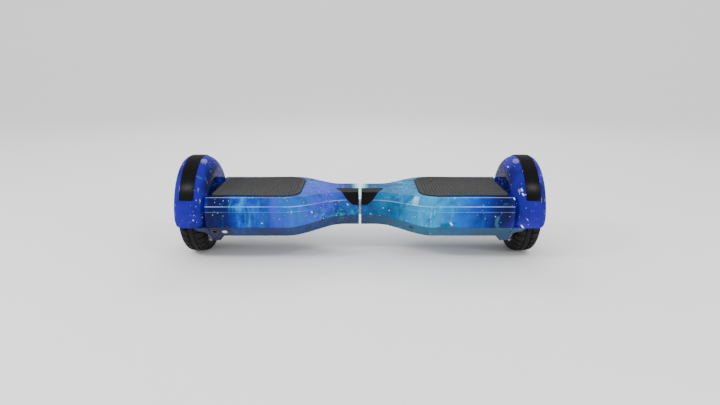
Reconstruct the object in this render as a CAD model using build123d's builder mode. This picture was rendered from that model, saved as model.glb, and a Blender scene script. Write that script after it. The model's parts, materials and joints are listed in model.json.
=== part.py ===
from build123d import *
from math import asin, degrees, sqrt
import os

# Self balancing board on two hub-motor wheels: every piece of the real assembly as its own solid.
# Frame: +X runs along the wheel axle to the rider's right, -Y is the front with the lamp lenses, +Z is up.
# The origin is on the ground, midway between the wheels and between front and back.

# ---------------------------------------------------------------- driving dimensions (mm)
# overall
HALF_LENGTH = 320.0          # centre line to the outer face of a fender
CENTRE_GAP = 3.7             # slot between the two halves
TYRE_RADIUS = 82.5           # a 6.5 inch wheel
TYRE_WIDTH = 44.0
WHEEL_X = 296.5              # centre plane of a wheel
FENDER_RADIUS = 94.5         # outside of the mudguard arch, about the axle
WALL = 3.0                   # moulded shell wall

# fender
FENDER_WALL_X = 265.0        # wheel-side face of the wall between body and wheel well
FENDER_OUTER_ROUND = 16.0
FENDER_INNER_ROUND = 28.0
WELL_LIP_RADIUS = 85.6       # opening in the outer face that shows the wheel
FENDER_TOE_RISE = 17.0       # height over which the outer bottom corner is rounded away
FENDER_TOE_IN, FENDER_TOE_KNEE_IN, FENDER_TOE_KNEE_RISE = 12.0, 3.6, 4.0

# body section of a half, at the foot platform (body) and at the middle (neck)
DECK_Z, NECK_TOP_Z = 119.5, 117.0
BODY_TOP_HALF, NECK_TOP_HALF = 84.0, 35.0
BODY_CREASE_HALF, NECK_CREASE_HALF = 92.0, 46.0
CREASE_Z = 105.0
BAND_Z = 96.0                # lower edge of the styling band under the crease
BAND_PROUD = 2.0
BODY_SEAM_HALF, NECK_SEAM_HALF = 90.0, 44.0
BODY_SEAM_Z, NECK_SEAM_Z = 67.0, 76.0
BODY_SILL_HALF, NECK_SILL_HALF = 69.0, 33.0
BODY_SILL_Z, NECK_SILL_Z = 46.0, 57.0
BODY_BELLY_HALF, NECK_BELLY_HALF = 38.0, 14.0
BODY_BELLY_Z, NECK_BELLY_Z = 39.0, 55.0
TOP_BLEND = (35.0, 123.0)    # stretch of X over which the top narrows to the neck
CREASE_BLEND = (28.0, 125.0)
SILL_BLEND = (28.0, 128.0)
BODY_START = 135.0           # the section stays the same from here to the fender
BODY_STATIONS, SEAM_STATIONS = 10, 8
SILL_INSET_SHARE, CREASE_DROP_SHARE = 0.6, 0.5   # how the cavity's slanted corners follow the wall
DECK_THICKNESS = 5.5
SEAM_GAP = 0.4

# cheek and toe of the lower shell, beside the wheel
CHEEK_BOTTOM_Z, CHEEK_BOTTOM_HALF, CHEEK_WIDTH = 33.0, 55.0, 20.0
CHEEK_PEAK, CHEEK_CHAMFER = 12.6, 6.0
TOE_REACH = 20.0             # how far the front and back walls run past the cheek
TYRE_GAP = 4.0               # room for the tyre inside the toe

# foot pads
PAD_OUTER_X, PAD_INNER_X = 258.0, 105.0
PAD_HALF_OUTER, PAD_HALF_INNER = 73.0, 81.5
PAD_OUTER_ROUND, PAD_INNER_ROUND, PAD_EDGE = 8.0, 34.0, 1.0
PAD_THICKNESS, PAD_PROUD = 4.0, 2.2
PAD_TRAVEL, PAD_STOP_GAP = 1.5, 0.2
PAD_MARGIN = 0.8
PLUNGER_X, PLUNGER_Y = (158.0, 206.0), 28.0
PLUNGER_SIZE = (9.0, 3.0)
PLUNGER_LENGTH = 8.2
BARB_SIZE = (12.0, 6.0)
BARB_HEIGHT = 1.7
PLUNGER_CLEARANCE = 0.4

# bumper strips and lamp lenses
STRIP_WIDTH, STRIP_HALF_ANGLE, STRIP_SEAT, STRIP_PROUD = 24.5, 70.0, 1.6, 1.0
STRIP_CLEARANCE, STRIP_END_ROUND = 0.25, 6.0
GLUE_LINE = 0.05             # gap under a part that is bonded into its seat
LENS_TOP_Y, LENS_TOP_HALF = -3.0, 46.0
LENS_CREASE_HALF, LENS_TIP_HALF, LENS_TIP_Z = 22.5, 12.0, 97.0
LENS_CLEARANCE, LENS_THICKNESS, LENS_LEDGE = 0.25, 1.6, 3.0
LENS_RIM = 0.6               # shell left between the lens and the end face of the neck
LENS_ROUND, LENS_REACH = 4.0, 60.0
LENS_PLANE_SHARE = 0.65      # how far out the plane that the outline is drawn on lies
LENS_WINDOW_END = 9.0        # from the lens's outer corner to the end of the opening behind it

# chassis
PIVOT_RADIUS, PIVOT_BORE_RADIUS = 16.0, 11.0
PIVOT_TAIL, PIVOT_CLEARANCE = 4.0, 1.0   # tube past its housings, and room round it in the casings
HOUSING_RADIUS, HOUSING_START, HOUSING_END = 22.0, 8.5, 84.0
BUSH_WALL, BUSH_LENGTH, RUNNING_CLEARANCE = 3.0, 22.0, 0.05
WASHER_THICKNESS, WASHER_RADIUS = 1.5, 21.0
RING_THICKNESS, RING_DEPTH, RING_RADIUS = 1.4, 1.0, 18.5
PIN_RADIUS, PIN_X, PIN_TOP, PIN_FOOT, PIN_CLEARANCE = 3.0, 45.0, 24.0, 0.5, 0.3
TWIST_LIMIT = 15.0
FRAME_DECK_Z, FRAME_DECK_THICKNESS = 96.0, 4.0
FRAME_DECK_HALF, FRAME_DECK_START, FRAME_DECK_END = 52.0, 108.0, 258.0
FRAME_NECK_HALF = 15.4
FRAME_RIB_DEPTH, FRAME_RIB, FRAME_SPINE_DEPTH = 12.0, 4.0, 2.5
FRAME_POST_X, FRAME_POST_Y = (120.0, 246.0), 44.0
POST_RADIUS, POST_GAP = 6.0, 0.2
AXLE_BLOCK_START, AXLE_BLOCK_END, AXLE_BLOCK_HALF = 228.0, 257.0, 24.0
CLAMP_DEPTH, CLAMP_SPLIT, CLAMP_CHAMFER = 13.0, 0.6, 5.2
CLAMP_BOLT_X, CLAMP_BOLT_Y = 7.5, 15.5
BOLT_RADIUS, BOLT_HEAD_RADIUS, BOLT_HEAD_HEIGHT, BOLT_LENGTH = 2.9, 4.9, 4.0, 20.0
BOLT_CLEARANCE, BOLT_END_GAP = 0.05, 1.0

# hub motor
AXLE_RADIUS, AXLE_START, AXLE_BORE_RADIUS, AXLE_BORE_END = 7.5, 226.0, 3.0, 290.0
AXLE_END_GAP, AXLE_SLOT_CLEARANCE, AXLE_CHAMFER = 2.0, 1.5, 0.8
RIM_RADIUS, RIM_WALL, RIM_WIDTH = 63.0, 5.5, 38.0
RIM_FLANGE, RIM_FLANGE_WIDTH = 2.5, 3.0
COVER_THICKNESS, COVER_SPIGOT, COVER_EDGE, COVER_CLEARANCE, COVER_DISH = 2.5, 2.0, 0.5, 0.1, 1.2
BEARING_RADIUS, BEARING_WIDTH, BEARING_INSET, BEARING_BOSS, BEARING_FACE = 16.0, 9.0, 0.5, 4.0, 0.8
STATOR_WIDTH, STATOR_YOKE_RADIUS, STATOR_YOKE_WALL, STATOR_TEETH = 22.0, 34.0, 6.0, 27
SPIDER_WIDTH = 10.0
TOOTH_WIDTH, TOOTH_TIP, TOOTH_TIP_WIDTH, TOOTH_OVERLAP = 4.4, 2.4, 8.6, 0.8
COIL_WALL, COIL_ROUND, COIL_CLEARANCE, COIL_END_GAP = 1.6, 1.4, 0.1, 1.2
MAGNET_COUNT, MAGNET_THICKNESS, MAGNET_WIDTH, MAGNET_LENGTH, AIR_GAP = 30, 3.0, 10.2, 24.0, 0.9
MAGNET_SEAT = 0.3
COVER_SCREWS, COVER_SCREW_RADIUS, COVER_SCREW_HEAD, COVER_SCREW_HEAD_HEIGHT = 6, 1.3, 2.2, 1.2
COVER_SCREW_LENGTH = 8.0
TYRE_SHOULDER = 13.0
TREAD_DEPTH, TREAD_GROOVES, TREAD_WIDTH, TREAD_REACH = 4.0, 36, 3.0, 11.0

# screws that hold the casings together
SCREW_PLACES = ((91.0, 68.0), (128.0, 62.0), (232.0, 62.0), (52.0, 34.0))
SCREW_HEAD_RADIUS, SCREW_HEAD_HEIGHT, SCREW_WELL_CLEARANCE = 3.9, 2.6, 0.5
SCREW_SHANK_RADIUS, SCREW_LENGTH, SCREW_CLEARANCE = 1.9, 20.0, 0.1
SCREW_RECESS_RADIUS, SCREW_RECESS_DEPTH = 1.4, 1.2
SCREW_SEAT_Z = 64.0
BOSS_WALL = 2.0

# battery and boards
BATTERY_SIZE, BATTERY_X, BATTERY_DROP = (80.0, 88.0, 40.0), 170.0, 5.0
BATTERY_ROUND = 6.0
STRAP_WIDTH, STRAP_THICKNESS, STRAP_CLEARANCE = 22.0, 1.4, 0.2
BOARD = 1.6
MAIN_BOARD_SIZE, MAIN_BOARD_X, SPACER_RADIUS, SPACER_LENGTH = (82.0, 88.0), 176.0, 3.0, 6.0
SPACER_INSET = 6.0
CAPACITOR_RADIUS, CAPACITOR_LENGTH, CAPACITOR_PITCH = 8.0, 18.0, 19.2
TRANSISTOR_SIZE, TRANSISTOR_PITCH, TRANSISTOR_COUNT, CHIP_WIDTH = (6.8, 4.1), 10.25, 7, 11.7
HEADER_OVERLAP = 2.0         # how far a plug header reaches over the board
SENSOR_BOARD_SIZE, SENSOR_BOARD_X, SENSOR_LIFT = (84.0, 72.0), 182.0, 8.0
SENSOR_LEG_RADIUS, SENSOR_SWITCH_SIZE = 2.4, (9.6, 6.0)
LIGHT_BOARD_SIZE, LIGHT_BOARD_X, LIGHT_BOARD_LIFT = (32.0, 14.0), 25.0, 7.5
LED_SIZE, LED_COUNT, LIGHT_LEG_RADIUS = (3.5, 3.5, 1.0), 5, 1.8
CABLE_RADIUS, CABLE_PLUG, CABLE_PLUG_RADIUS, CABLE_PLUG_GAP = 4.0, 14.0, 6.5, 0.5
MOTOR_CABLE_RADIUS, MOTOR_CABLE_BEND = 2.6, 7.8
MOTOR_CABLE_LEAD, MOTOR_CABLE_BACK, MOTOR_CABLE_DROP = 9.0, 24.0, 20.0

# charging socket and power switch
SOCKET_X, SWITCH_X = 253.0, 235.5
PORT_DROP = 0.44             # how far down the sill chamfer they sit, as a share
SOCKET_RADIUS, SOCKET_FLANGE, SOCKET_CAVITY_RADIUS = 5.6, 1.4, 4.4
SOCKET_DEPTH, SOCKET_CAVITY_DEPTH = 13.0, 9.0
SOCKET_PINS, SOCKET_PIN_CIRCLE, SOCKET_PIN_RADIUS, SOCKET_PIN_LENGTH = 3, 2.2, 0.6, 6.3
SWITCH_RADIUS, SWITCH_FLANGE, SWITCH_CAP_RADIUS, SWITCH_DEPTH = 5.8, 0.8, 4.6, 12.0
SWITCH_TRAVEL, SWITCH_CAP_CLEARANCE, SWITCH_CAP_PROUD, SWITCH_CAP_LENGTH = 0.8, 0.3, 0.4, 5.0
PORT_RIM, PORT_CLEARANCE, BUTTON_EDGE = 0.9, 0.1, 0.4

# derived sizes
AXLE_Z = TYRE_RADIUS
AXLE_AXIS = Axis((0, 0, AXLE_Z), (1, 0, 0))
GAP_HALF = CENTRE_GAP / 2
PAD_TOP_Z = DECK_Z + PAD_PROUD
PAD_UNDER_Z = PAD_TOP_Z - PAD_THICKNESS
PAD_FLOOR_Z = PAD_UNDER_Z - PAD_TRAVEL - PAD_STOP_GAP
DECK_UNDER_Z = DECK_Z - DECK_THICKNESS
FRAME_UNDER_Z = FRAME_DECK_Z - FRAME_DECK_THICKNESS
RIM_START, RIM_END = WHEEL_X - RIM_WIDTH / 2, WHEEL_X + RIM_WIDTH / 2
RIM_BORE_RADIUS = RIM_RADIUS - RIM_WALL
COVER_SCREW_CIRCLE = RIM_RADIUS - RIM_WALL / 2
MAGNET_OUTER = RIM_BORE_RADIUS - MAGNET_SEAT
STATOR_RADIUS = MAGNET_OUTER - MAGNET_THICKNESS - AIR_GAP
BEARING_STARTS = (RIM_START + BEARING_INSET, RIM_END - BEARING_INSET - BEARING_WIDTH)
LENS_PLANE_OFFSET = (NECK_TOP_Z - LENS_TOP_Y) * LENS_PLANE_SHARE
LENS_PLANE = Plane(origin=(0, 0, 0), x_dir=(1, 0, 0), z_dir=(0, -1, 1)).offset(LENS_PLANE_OFFSET)
FAR = 400.0                  # larger than the whole board, for cutting solids
CUT = 1.0                    # how far a cutting solid runs past the face it leaves through
SIDES = (("left", -1), ("right", 1))

os.makedirs("parts", exist_ok=True)


def finish(piece, name):
    """Labels a finished piece and writes it as its own file."""
    piece.label = name
    export_step(piece, f"parts/{name}.step")


def on_side(shape, sign):
    """The right-hand shape itself, or its mirror image for the left-hand side."""
    return shape if sign > 0 else mirror(shape, about=Plane.YZ)


def ease(x, span, neck, body):
    """Smooth step from the neck's value to the body's over a stretch of X."""
    t = min(max((x - span[0]) / (span[1] - span[0]), 0.0), 1.0)
    return neck + (body - neck) * t * t * (3 - 2 * t)


def seam_z(x):
    """Height of the seam between the casings at x."""
    return ease(x, SILL_BLEND, NECK_SEAM_Z, BODY_SEAM_Z)


def section_points(x, inset=0.0, top_inset=None):
    """Corners (y, z) of one half's section at x, drawn in by the wall thickness for the cavity."""
    top_inset = inset if top_inset is None else top_inset
    crease = ease(x, CREASE_BLEND, NECK_CREASE_HALF, BODY_CREASE_HALF) - inset
    top = (ease(x, TOP_BLEND, NECK_TOP_HALF, BODY_TOP_HALF) - inset,
           ease(x, TOP_BLEND, NECK_TOP_Z, DECK_Z) - top_inset)
    seam = (ease(x, CREASE_BLEND, NECK_SEAM_HALF, BODY_SEAM_HALF) - inset, seam_z(x))
    sill = (ease(x, SILL_BLEND, NECK_SILL_HALF, BODY_SILL_HALF) - inset * SILL_INSET_SHARE,
            ease(x, SILL_BLEND, NECK_SILL_Z, BODY_SILL_Z) + inset)
    belly = (ease(x, SILL_BLEND, NECK_BELLY_HALF, BODY_BELLY_HALF),
             ease(x, SILL_BLEND, NECK_BELLY_Z, BODY_BELLY_Z) + inset)
    shoulder = (crease, CREASE_Z - inset * CREASE_DROP_SHARE)
    front = [top, shoulder, (crease + BAND_PROUD, BAND_Z), seam, sill, belly]
    return [(-y, z) for y, z in front] + [(y, z) for y, z in reversed(front)]


def section_face(x, inset=0.0, top_inset=None):
    """Flat face of the section at x."""
    with BuildSketch(Plane.YZ.offset(x)) as face:
        with BuildLine():
            Polyline(*section_points(x, inset, top_inset), close=True)
        make_face()
    return face.sketch


def body_solid(start, end, inset=0.0, top_inset=None):
    """The half's body between two values of X: lofted to the platform, then straight."""
    stations = [start + (BODY_START - start) * i / BODY_STATIONS for i in range(BODY_STATIONS + 1)]
    with BuildPart() as body:
        for x in stations:
            add(section_face(x, inset, top_inset))
        loft()
        extrude(section_face(BODY_START, inset, top_inset), amount=end - BODY_START, dir=(1, 0, 0))
    return body.part


def under_seam(offset):
    """Everything below the seam line, raised or lowered by offset."""
    start, end = SILL_BLEND
    stations = [-start] + [start + (end - start) * i / SEAM_STATIONS for i in range(SEAM_STATIONS + 1)]
    line = [(x, seam_z(x) + offset) for x in stations]
    with BuildPart() as region:
        with BuildSketch(Plane.XZ.offset(-FAR / 2)):
            with BuildLine():
                curve = Spline(*line, tangents=((1, 0), (1, 0)))
                Polyline(curve @ 1, (FAR, line[-1][1]), (FAR, -FAR), (line[0][0], -FAR), curve @ 0)
            make_face()
        extrude(amount=FAR)
    return region.part


def revolved_about_axle(points, rounds=()):
    """Solid of revolution about the axle from (x, radius) corners, with some corners rounded."""
    with BuildPart() as ring:
        with BuildSketch(Plane.XZ) as profile:
            with BuildLine():
                Polyline(*[(x, AXLE_Z + r) for x, r in points], close=True)
            make_face()
            for corner, radius in rounds:
                x, r = points[corner]
                near = profile.vertices().sort_by_distance((x, AXLE_Z + r))[0]
                fillet(near, radius=radius)
        revolve(axis=AXLE_AXIS)
    return ring.part


def fender_solid(inset):
    """The mudguard drum, whole or drawn in by the wall, with its opening's lip at the half length."""
    lip_rise = WELL_LIP_RADIUS - (FENDER_RADIUS - FENDER_OUTER_ROUND)
    face = HALF_LENGTH + FENDER_OUTER_ROUND - sqrt(FENDER_OUTER_ROUND ** 2 - lip_rise ** 2)
    left, right, radius = FENDER_WALL_X - WALL + inset, face - inset, FENDER_RADIUS - inset
    return revolved_about_axle(
        [(left, 0), (left, radius), (right, radius), (right, 0)],
        [(1, FENDER_INNER_ROUND - inset), (2, FENDER_OUTER_ROUND - inset)],
    )


def pad_outline(margin=0.0):
    """Plan of a foot pad: straight beside the wheel, its corners well rounded towards the middle."""
    outer, inner = PAD_OUTER_X + margin, PAD_INNER_X - margin
    half_outer, half_inner = PAD_HALF_OUTER + margin, PAD_HALF_INNER + margin
    with BuildSketch() as plan:
        with BuildLine():
            Polyline(
                (outer, half_outer), (inner, half_inner), (inner, -half_inner), (outer, -half_outer), close=True
            )
        make_face()
        fillet(plan.vertices().sort_by(Axis.X)[-2:], radius=PAD_OUTER_ROUND + margin)
        fillet(plan.vertices().sort_by(Axis.X)[:2], radius=PAD_INNER_ROUND + margin)
    return plan.sketch


def lens_height(y, z):
    """Distance up the tilted plane of the lens outline."""
    return (y + z) / sqrt(2)


def lens_prism(margin=0.0):
    """Prism whose outline, looked at from the front and above, is one half of the lamp lens."""
    crease = lens_height(-NECK_CREASE_HALF, CREASE_Z)
    top = lens_height(LENS_TOP_Y, NECK_TOP_Z) + margin
    tip = lens_height(-NECK_CREASE_HALF - BAND_PROUD, LENS_TIP_Z) - margin
    start = GAP_HALF + LENS_RIM - margin
    with BuildPart() as prism:
        with BuildSketch(LENS_PLANE) as outline:
            with BuildLine():
                Polyline(
                    (start, top), (LENS_TOP_HALF + margin, top), (LENS_CREASE_HALF + margin, crease),
                    (LENS_TIP_HALF + margin, tip), (start, tip), close=True,
                )
            make_face()
            fillet(outline.vertices().sort_by_distance((LENS_TOP_HALF + margin, top))[0], radius=LENS_ROUND)
            fillet(outline.vertices().sort_by_distance((LENS_TIP_HALF + margin, tip))[0], radius=LENS_ROUND)
        extrude(amount=LENS_REACH)
    return prism.part


def lens_window():
    """Opening behind the lens that the lamps shine through, a ledge narrower than the lens."""
    crease = lens_height(-NECK_CREASE_HALF, CREASE_Z)
    top = lens_height(LENS_TOP_Y, NECK_TOP_Z) - LENS_LEDGE
    start = GAP_HALF + WALL + LENS_LEDGE
    with BuildPart() as window:
        with BuildSketch(LENS_PLANE):
            with BuildLine():
                Polyline(
                    (start, top), (LENS_TOP_HALF - LENS_WINDOW_END, top),
                    (LENS_CREASE_HALF - LENS_LEDGE, crease), (start, crease), close=True,
                )
            make_face()
        extrude(amount=LENS_REACH)
    return window.part


def strip_ring(margin, inner, outer):
    """Arc of the bumper strip between two radii, ending at its half angle on both sides."""
    half = STRIP_WIDTH / 2 + margin
    angle = STRIP_HALF_ANGLE + degrees(margin / FENDER_RADIUS)
    with BuildPart() as strip:
        with BuildSketch(Plane.XZ) as profile:
            with Locations((WHEEL_X, AXLE_Z + (inner + outer) / 2)):
                Rectangle(2 * half, outer - inner)
        revolve(axis=AXLE_AXIS, revolution_arc=2 * angle)
    return strip.part.rotate(AXLE_AXIS, -angle)


def port_plane(x):
    """Plane on the sill chamfer of the front at x, facing outwards, for the socket and the switch."""
    seam, sill = (-BODY_SEAM_HALF, BODY_SEAM_Z), (-BODY_SILL_HALF, BODY_SILL_Z)
    y = seam[0] + (sill[0] - seam[0]) * PORT_DROP
    z = seam[1] + (sill[1] - seam[1]) * PORT_DROP
    run = (sill[0] - seam[0], sill[1] - seam[1])
    return Plane(origin=(x, y, z), x_dir=(1, 0, 0), z_dir=(0, run[1], -run[0]))


def bar_along_x(start, end, radius, y=0.0, z=AXLE_Z):
    """Round bar along X."""
    with BuildPart() as bar:
        with BuildSketch(Plane.YZ.offset(start)):
            with Locations((y, z)):
                Circle(radius)
        extrude(amount=end - start)
    return bar.part


def upright(x, y, bottom, top, radius):
    """Upright round bar."""
    with BuildPart() as bar:
        with BuildSketch(Plane.XY.offset(bottom)):
            with Locations((x, y)):
                Circle(radius)
        extrude(amount=top - bottom)
    return bar.part


def both_rows(places):
    """Places (x, y) repeated on the other side of the centre plane."""
    return [(x, side * y) for x, y in places for side in (-1, 1)]


CASING_POSTS = both_rows(SCREW_PLACES)
FRAME_POSTS = both_rows([(x, FRAME_POST_Y) for x in FRAME_POST_X])
SCREW_WELL_RADIUS = SCREW_HEAD_RADIUS + SCREW_WELL_CLEARANCE
SCREW_HOLE_RADIUS = SCREW_SHANK_RADIUS + SCREW_CLEARANCE


# ---------------------------------------------------------------- casings
def wheel_well():
    """Space for the wheel inside the mudguard, with its opening in the outer face and down to the ground."""
    depth = AXLE_Z + WALL
    with BuildPart() as well:
        add(fender_solid(WALL))
        with BuildSketch(Plane.YZ.offset(WHEEL_X)):
            with Locations((0, AXLE_Z)):
                Circle(WELL_LIP_RADIUS)
            with Locations((0, AXLE_Z - depth / 2)):
                Rectangle(2 * WELL_LIP_RADIUS, depth)
        extrude(amount=HALF_LENGTH)
    return well.part


def fender_toe_cut():
    """Wedge that rounds the lower outer corner of the mudguard away."""
    foot_z = BODY_SEAM_Z
    with BuildPart() as wedge:
        with BuildSketch(Plane.XZ.offset(-FAR / 2)):
            with BuildLine():
                Polyline(
                    (HALF_LENGTH + CUT, foot_z + FENDER_TOE_RISE),
                    (HALF_LENGTH - FENDER_TOE_KNEE_IN, foot_z + FENDER_TOE_KNEE_RISE),
                    (HALF_LENGTH - FENDER_TOE_IN, foot_z - CUT), (HALF_LENGTH + CUT, foot_z - CUT), close=True,
                )
            make_face()
        extrude(amount=FAR)
    return wedge.part


def lens_layer(depth):
    """Skin of the neck down to a depth, where the lamp lens lies."""
    with BuildPart() as layer:
        add(body_solid(GAP_HALF, FENDER_WALL_X))
        add(body_solid(GAP_HALF - CUT, FENDER_WALL_X + CUT, depth), mode=Mode.SUBTRACT)
    return layer.part


def build_upper_shell():
    """Upper casing of a half: platform, neck, mudguard, seats for pad, lens and strip, screw posts."""
    hull = body_solid(GAP_HALF, FENDER_WALL_X)
    post_limit = body_solid(GAP_HALF, FENDER_WALL_X, WALL / 2, WALL)
    axle_slot = AXLE_RADIUS + AXLE_SLOT_CLEARANCE
    screw_top = SCREW_SEAT_Z + SCREW_LENGTH
    with BuildPart() as posts:
        for x, y in CASING_POSTS:
            add(upright(x, y, SCREW_SEAT_Z + BOSS_WALL + POST_GAP, DECK_Z, POST_RADIUS))
        for x, y in FRAME_POSTS:
            add(upright(x, y, FRAME_DECK_Z, DECK_Z, POST_RADIUS))
        add(post_limit, mode=Mode.INTERSECT)
    with BuildPart() as upper_shell:
        add(hull)
        add(fender_solid(0))
        add(body_solid(GAP_HALF + WALL, FENDER_WALL_X - WALL, WALL, DECK_THICKNESS), mode=Mode.SUBTRACT)
        add(wheel_well(), mode=Mode.SUBTRACT)
        add(fender_toe_cut(), mode=Mode.SUBTRACT)
        add(posts.part)
        add(under_seam(SEAM_GAP / 2), mode=Mode.SUBTRACT)
        with BuildSketch(Plane.XY.offset(PAD_FLOOR_Z)):
            add(pad_outline(PAD_MARGIN))
        extrude(amount=DECK_THICKNESS, mode=Mode.SUBTRACT)
        with BuildSketch(Plane.XY.offset(DECK_UNDER_Z)):
            with Locations(*both_rows([(x, PLUNGER_Y) for x in PLUNGER_X])):
                Rectangle(PLUNGER_SIZE[0] + 2 * PLUNGER_CLEARANCE, PLUNGER_SIZE[1] + 2 * PLUNGER_CLEARANCE)
        extrude(amount=DECK_THICKNESS, mode=Mode.SUBTRACT)
        for x, y in CASING_POSTS:
            add(upright(x, y, SCREW_SEAT_Z, screw_top + CUT, SCREW_HOLE_RADIUS), mode=Mode.SUBTRACT)
        for x, y in FRAME_POSTS:
            add(upright(x, y, FRAME_UNDER_Z, PAD_FLOOR_Z - BOSS_WALL, SCREW_HOLE_RADIUS), mode=Mode.SUBTRACT)
        add(strip_ring(STRIP_CLEARANCE, FENDER_RADIUS - STRIP_SEAT, FENDER_RADIUS + WALL), mode=Mode.SUBTRACT)
        add(bar_along_x(0, GAP_HALF + 2 * WALL, PIVOT_RADIUS + PIVOT_CLEARANCE), mode=Mode.SUBTRACT)
        add(bar_along_x(FENDER_WALL_X - 2 * WALL, FENDER_WALL_X + CUT, axle_slot), mode=Mode.SUBTRACT)
        with BuildSketch(Plane.YZ.offset(FENDER_WALL_X - 2 * WALL)):
            with Locations((0, AXLE_Z / 2)):
                Rectangle(2 * axle_slot, AXLE_Z)
        extrude(amount=2 * WALL + CUT, mode=Mode.SUBTRACT)
    with BuildPart() as lens_seat:
        add(lens_layer(LENS_THICKNESS + GLUE_LINE))
        add(lens_prism(LENS_CLEARANCE), mode=Mode.INTERSECT)
    with BuildPart() as seated:
        add(upper_shell.part)
        add(lens_seat.part, mode=Mode.SUBTRACT)
        add(lens_window(), mode=Mode.SUBTRACT)
    return seated.part


def cheek_solid(inset):
    """Lobe of the lower shell beside the wheel."""
    sill = BODY_SILL_HALF - inset * SILL_INSET_SHARE
    with BuildPart() as cheek:
        with BuildSketch(Plane.YZ.offset(FENDER_WALL_X - CHEEK_WIDTH + inset)):
            with BuildLine():
                Polyline(
                    (-sill, BODY_SILL_Z + inset), (-CHEEK_BOTTOM_HALF, CHEEK_BOTTOM_Z + inset),
                    (CHEEK_BOTTOM_HALF, CHEEK_BOTTOM_Z + inset), (sill, BODY_SILL_Z + inset),
                    (0, BODY_SILL_Z + CHEEK_PEAK), close=True,
                )
            make_face()
        extrude(amount=CHEEK_WIDTH - inset * 2)
        foot = cheek.faces().sort_by(Axis.Z)[0].edges().sort_by(Axis.X)[0]
        chamfer(foot, length=CHEEK_CHAMFER)
    return cheek.part


def toe_solid():
    """Front and back fins of the lower shell that carry the seam on to the wheel."""
    reach = FENDER_WALL_X + TOE_REACH
    edge_y = sqrt(FENDER_RADIUS ** 2 - (AXLE_Z - BODY_SEAM_Z) ** 2)
    with BuildPart() as toe:
        with BuildSketch(Plane.YZ.offset(FENDER_WALL_X - WALL)):
            with BuildLine():
                Polyline(
                    (-edge_y, BODY_SEAM_Z), (-BODY_SILL_HALF, BODY_SILL_Z),
                    (-CHEEK_BOTTOM_HALF, CHEEK_BOTTOM_Z), (CHEEK_BOTTOM_HALF, CHEEK_BOTTOM_Z),
                    (BODY_SILL_HALF, BODY_SILL_Z), (edge_y, BODY_SEAM_Z), close=True,
                )
            make_face()
        extrude(amount=TOE_REACH + WALL)
        with BuildSketch(Plane.XZ.offset(-FAR / 2)):
            with BuildLine():
                Polyline(
                    (reach + CUT, BODY_SEAM_Z + CUT), (reach, BODY_SEAM_Z - CUT),
                    (FENDER_WALL_X, CHEEK_BOTTOM_Z), (FENDER_WALL_X, 0), (reach + CUT, 0), close=True,
                )
            make_face()
        extrude(amount=FAR, mode=Mode.SUBTRACT)
    return toe.part


def tyre_room():
    """Space that the lower shell leaves for the wheel, rounded like the tyre's shoulder."""
    radius = TYRE_RADIUS + TYRE_GAP
    return revolved_about_axle(
        [(FENDER_WALL_X, 0), (FENDER_WALL_X, radius), (HALF_LENGTH + CUT, radius), (HALF_LENGTH + CUT, 0)],
        [(1, TYRE_SHOULDER)],
    )


def build_lower_shell(with_ports):
    """Lower casing of a half, with its screw bosses; the left one also takes the socket and the switch."""
    with BuildPart() as bosses:
        for x, y in CASING_POSTS:
            add(upright(x, y, 0, SCREW_SEAT_Z + BOSS_WALL, SCREW_WELL_RADIUS + BOSS_WALL))
        add(body_solid(GAP_HALF, FENDER_WALL_X), mode=Mode.INTERSECT)
    with BuildPart() as lower_shell:
        add(body_solid(GAP_HALF, FENDER_WALL_X))
        add(cheek_solid(0))
        add(toe_solid())
        add(under_seam(-SEAM_GAP / 2), mode=Mode.INTERSECT)
        add(body_solid(GAP_HALF + WALL, FENDER_WALL_X - WALL, WALL, DECK_THICKNESS), mode=Mode.SUBTRACT)
        add(cheek_solid(WALL), mode=Mode.SUBTRACT)
        add(tyre_room(), mode=Mode.SUBTRACT)
        add(bosses.part)
        for x, y in CASING_POSTS:
            add(upright(x, y, 0, SCREW_SEAT_Z, SCREW_WELL_RADIUS), mode=Mode.SUBTRACT)
            add(upright(x, y, 0, SCREW_SEAT_Z + SCREW_LENGTH, SCREW_HOLE_RADIUS), mode=Mode.SUBTRACT)
        add(bar_along_x(0, GAP_HALF + 2 * WALL, PIVOT_RADIUS + PIVOT_CLEARANCE), mode=Mode.SUBTRACT)
        if with_ports:
            for x, radius in ((SOCKET_X, SOCKET_RADIUS), (SWITCH_X, SWITCH_RADIUS)):
                with BuildSketch(port_plane(x).offset(-2 * WALL)):
                    Circle(radius + PORT_CLEARANCE)
                extrude(amount=4 * WALL, mode=Mode.SUBTRACT)
    return lower_shell.part


def build_bumper_strip():
    """Glossy guard strip bonded into its seat over the mudguard, with rounded ends."""
    with BuildPart() as strip:
        add(strip_ring(0, FENDER_RADIUS - STRIP_SEAT + GLUE_LINE, FENDER_RADIUS + STRIP_PROUD))
        ends = strip.faces().filter_by(GeomType.PLANE).sort_by(Axis.Z)[:2]
        corners = [edge for end in ends for edge in end.edges() if edge.length < STRIP_WIDTH / 2]
        fillet(corners, radius=STRIP_END_ROUND)
    return strip.part


def build_light_lens():
    """Glossy lens over the lamps, flush with the skin of the neck."""
    with BuildPart() as lens:
        add(lens_layer(LENS_THICKNESS))
        add(lens_prism(0), mode=Mode.INTERSECT)
    return lens.part


def build_foot_pad():
    """Rubber platform that the rider stands on."""
    with BuildPart() as foot_pad:
        with BuildSketch(Plane.XY.offset(PAD_UNDER_Z)):
            add(pad_outline())
        extrude(amount=PAD_THICKNESS)
        chamfer(foot_pad.faces().sort_by(Axis.Z)[-1].edges(), length=PAD_EDGE)
    return foot_pad.part


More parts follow.
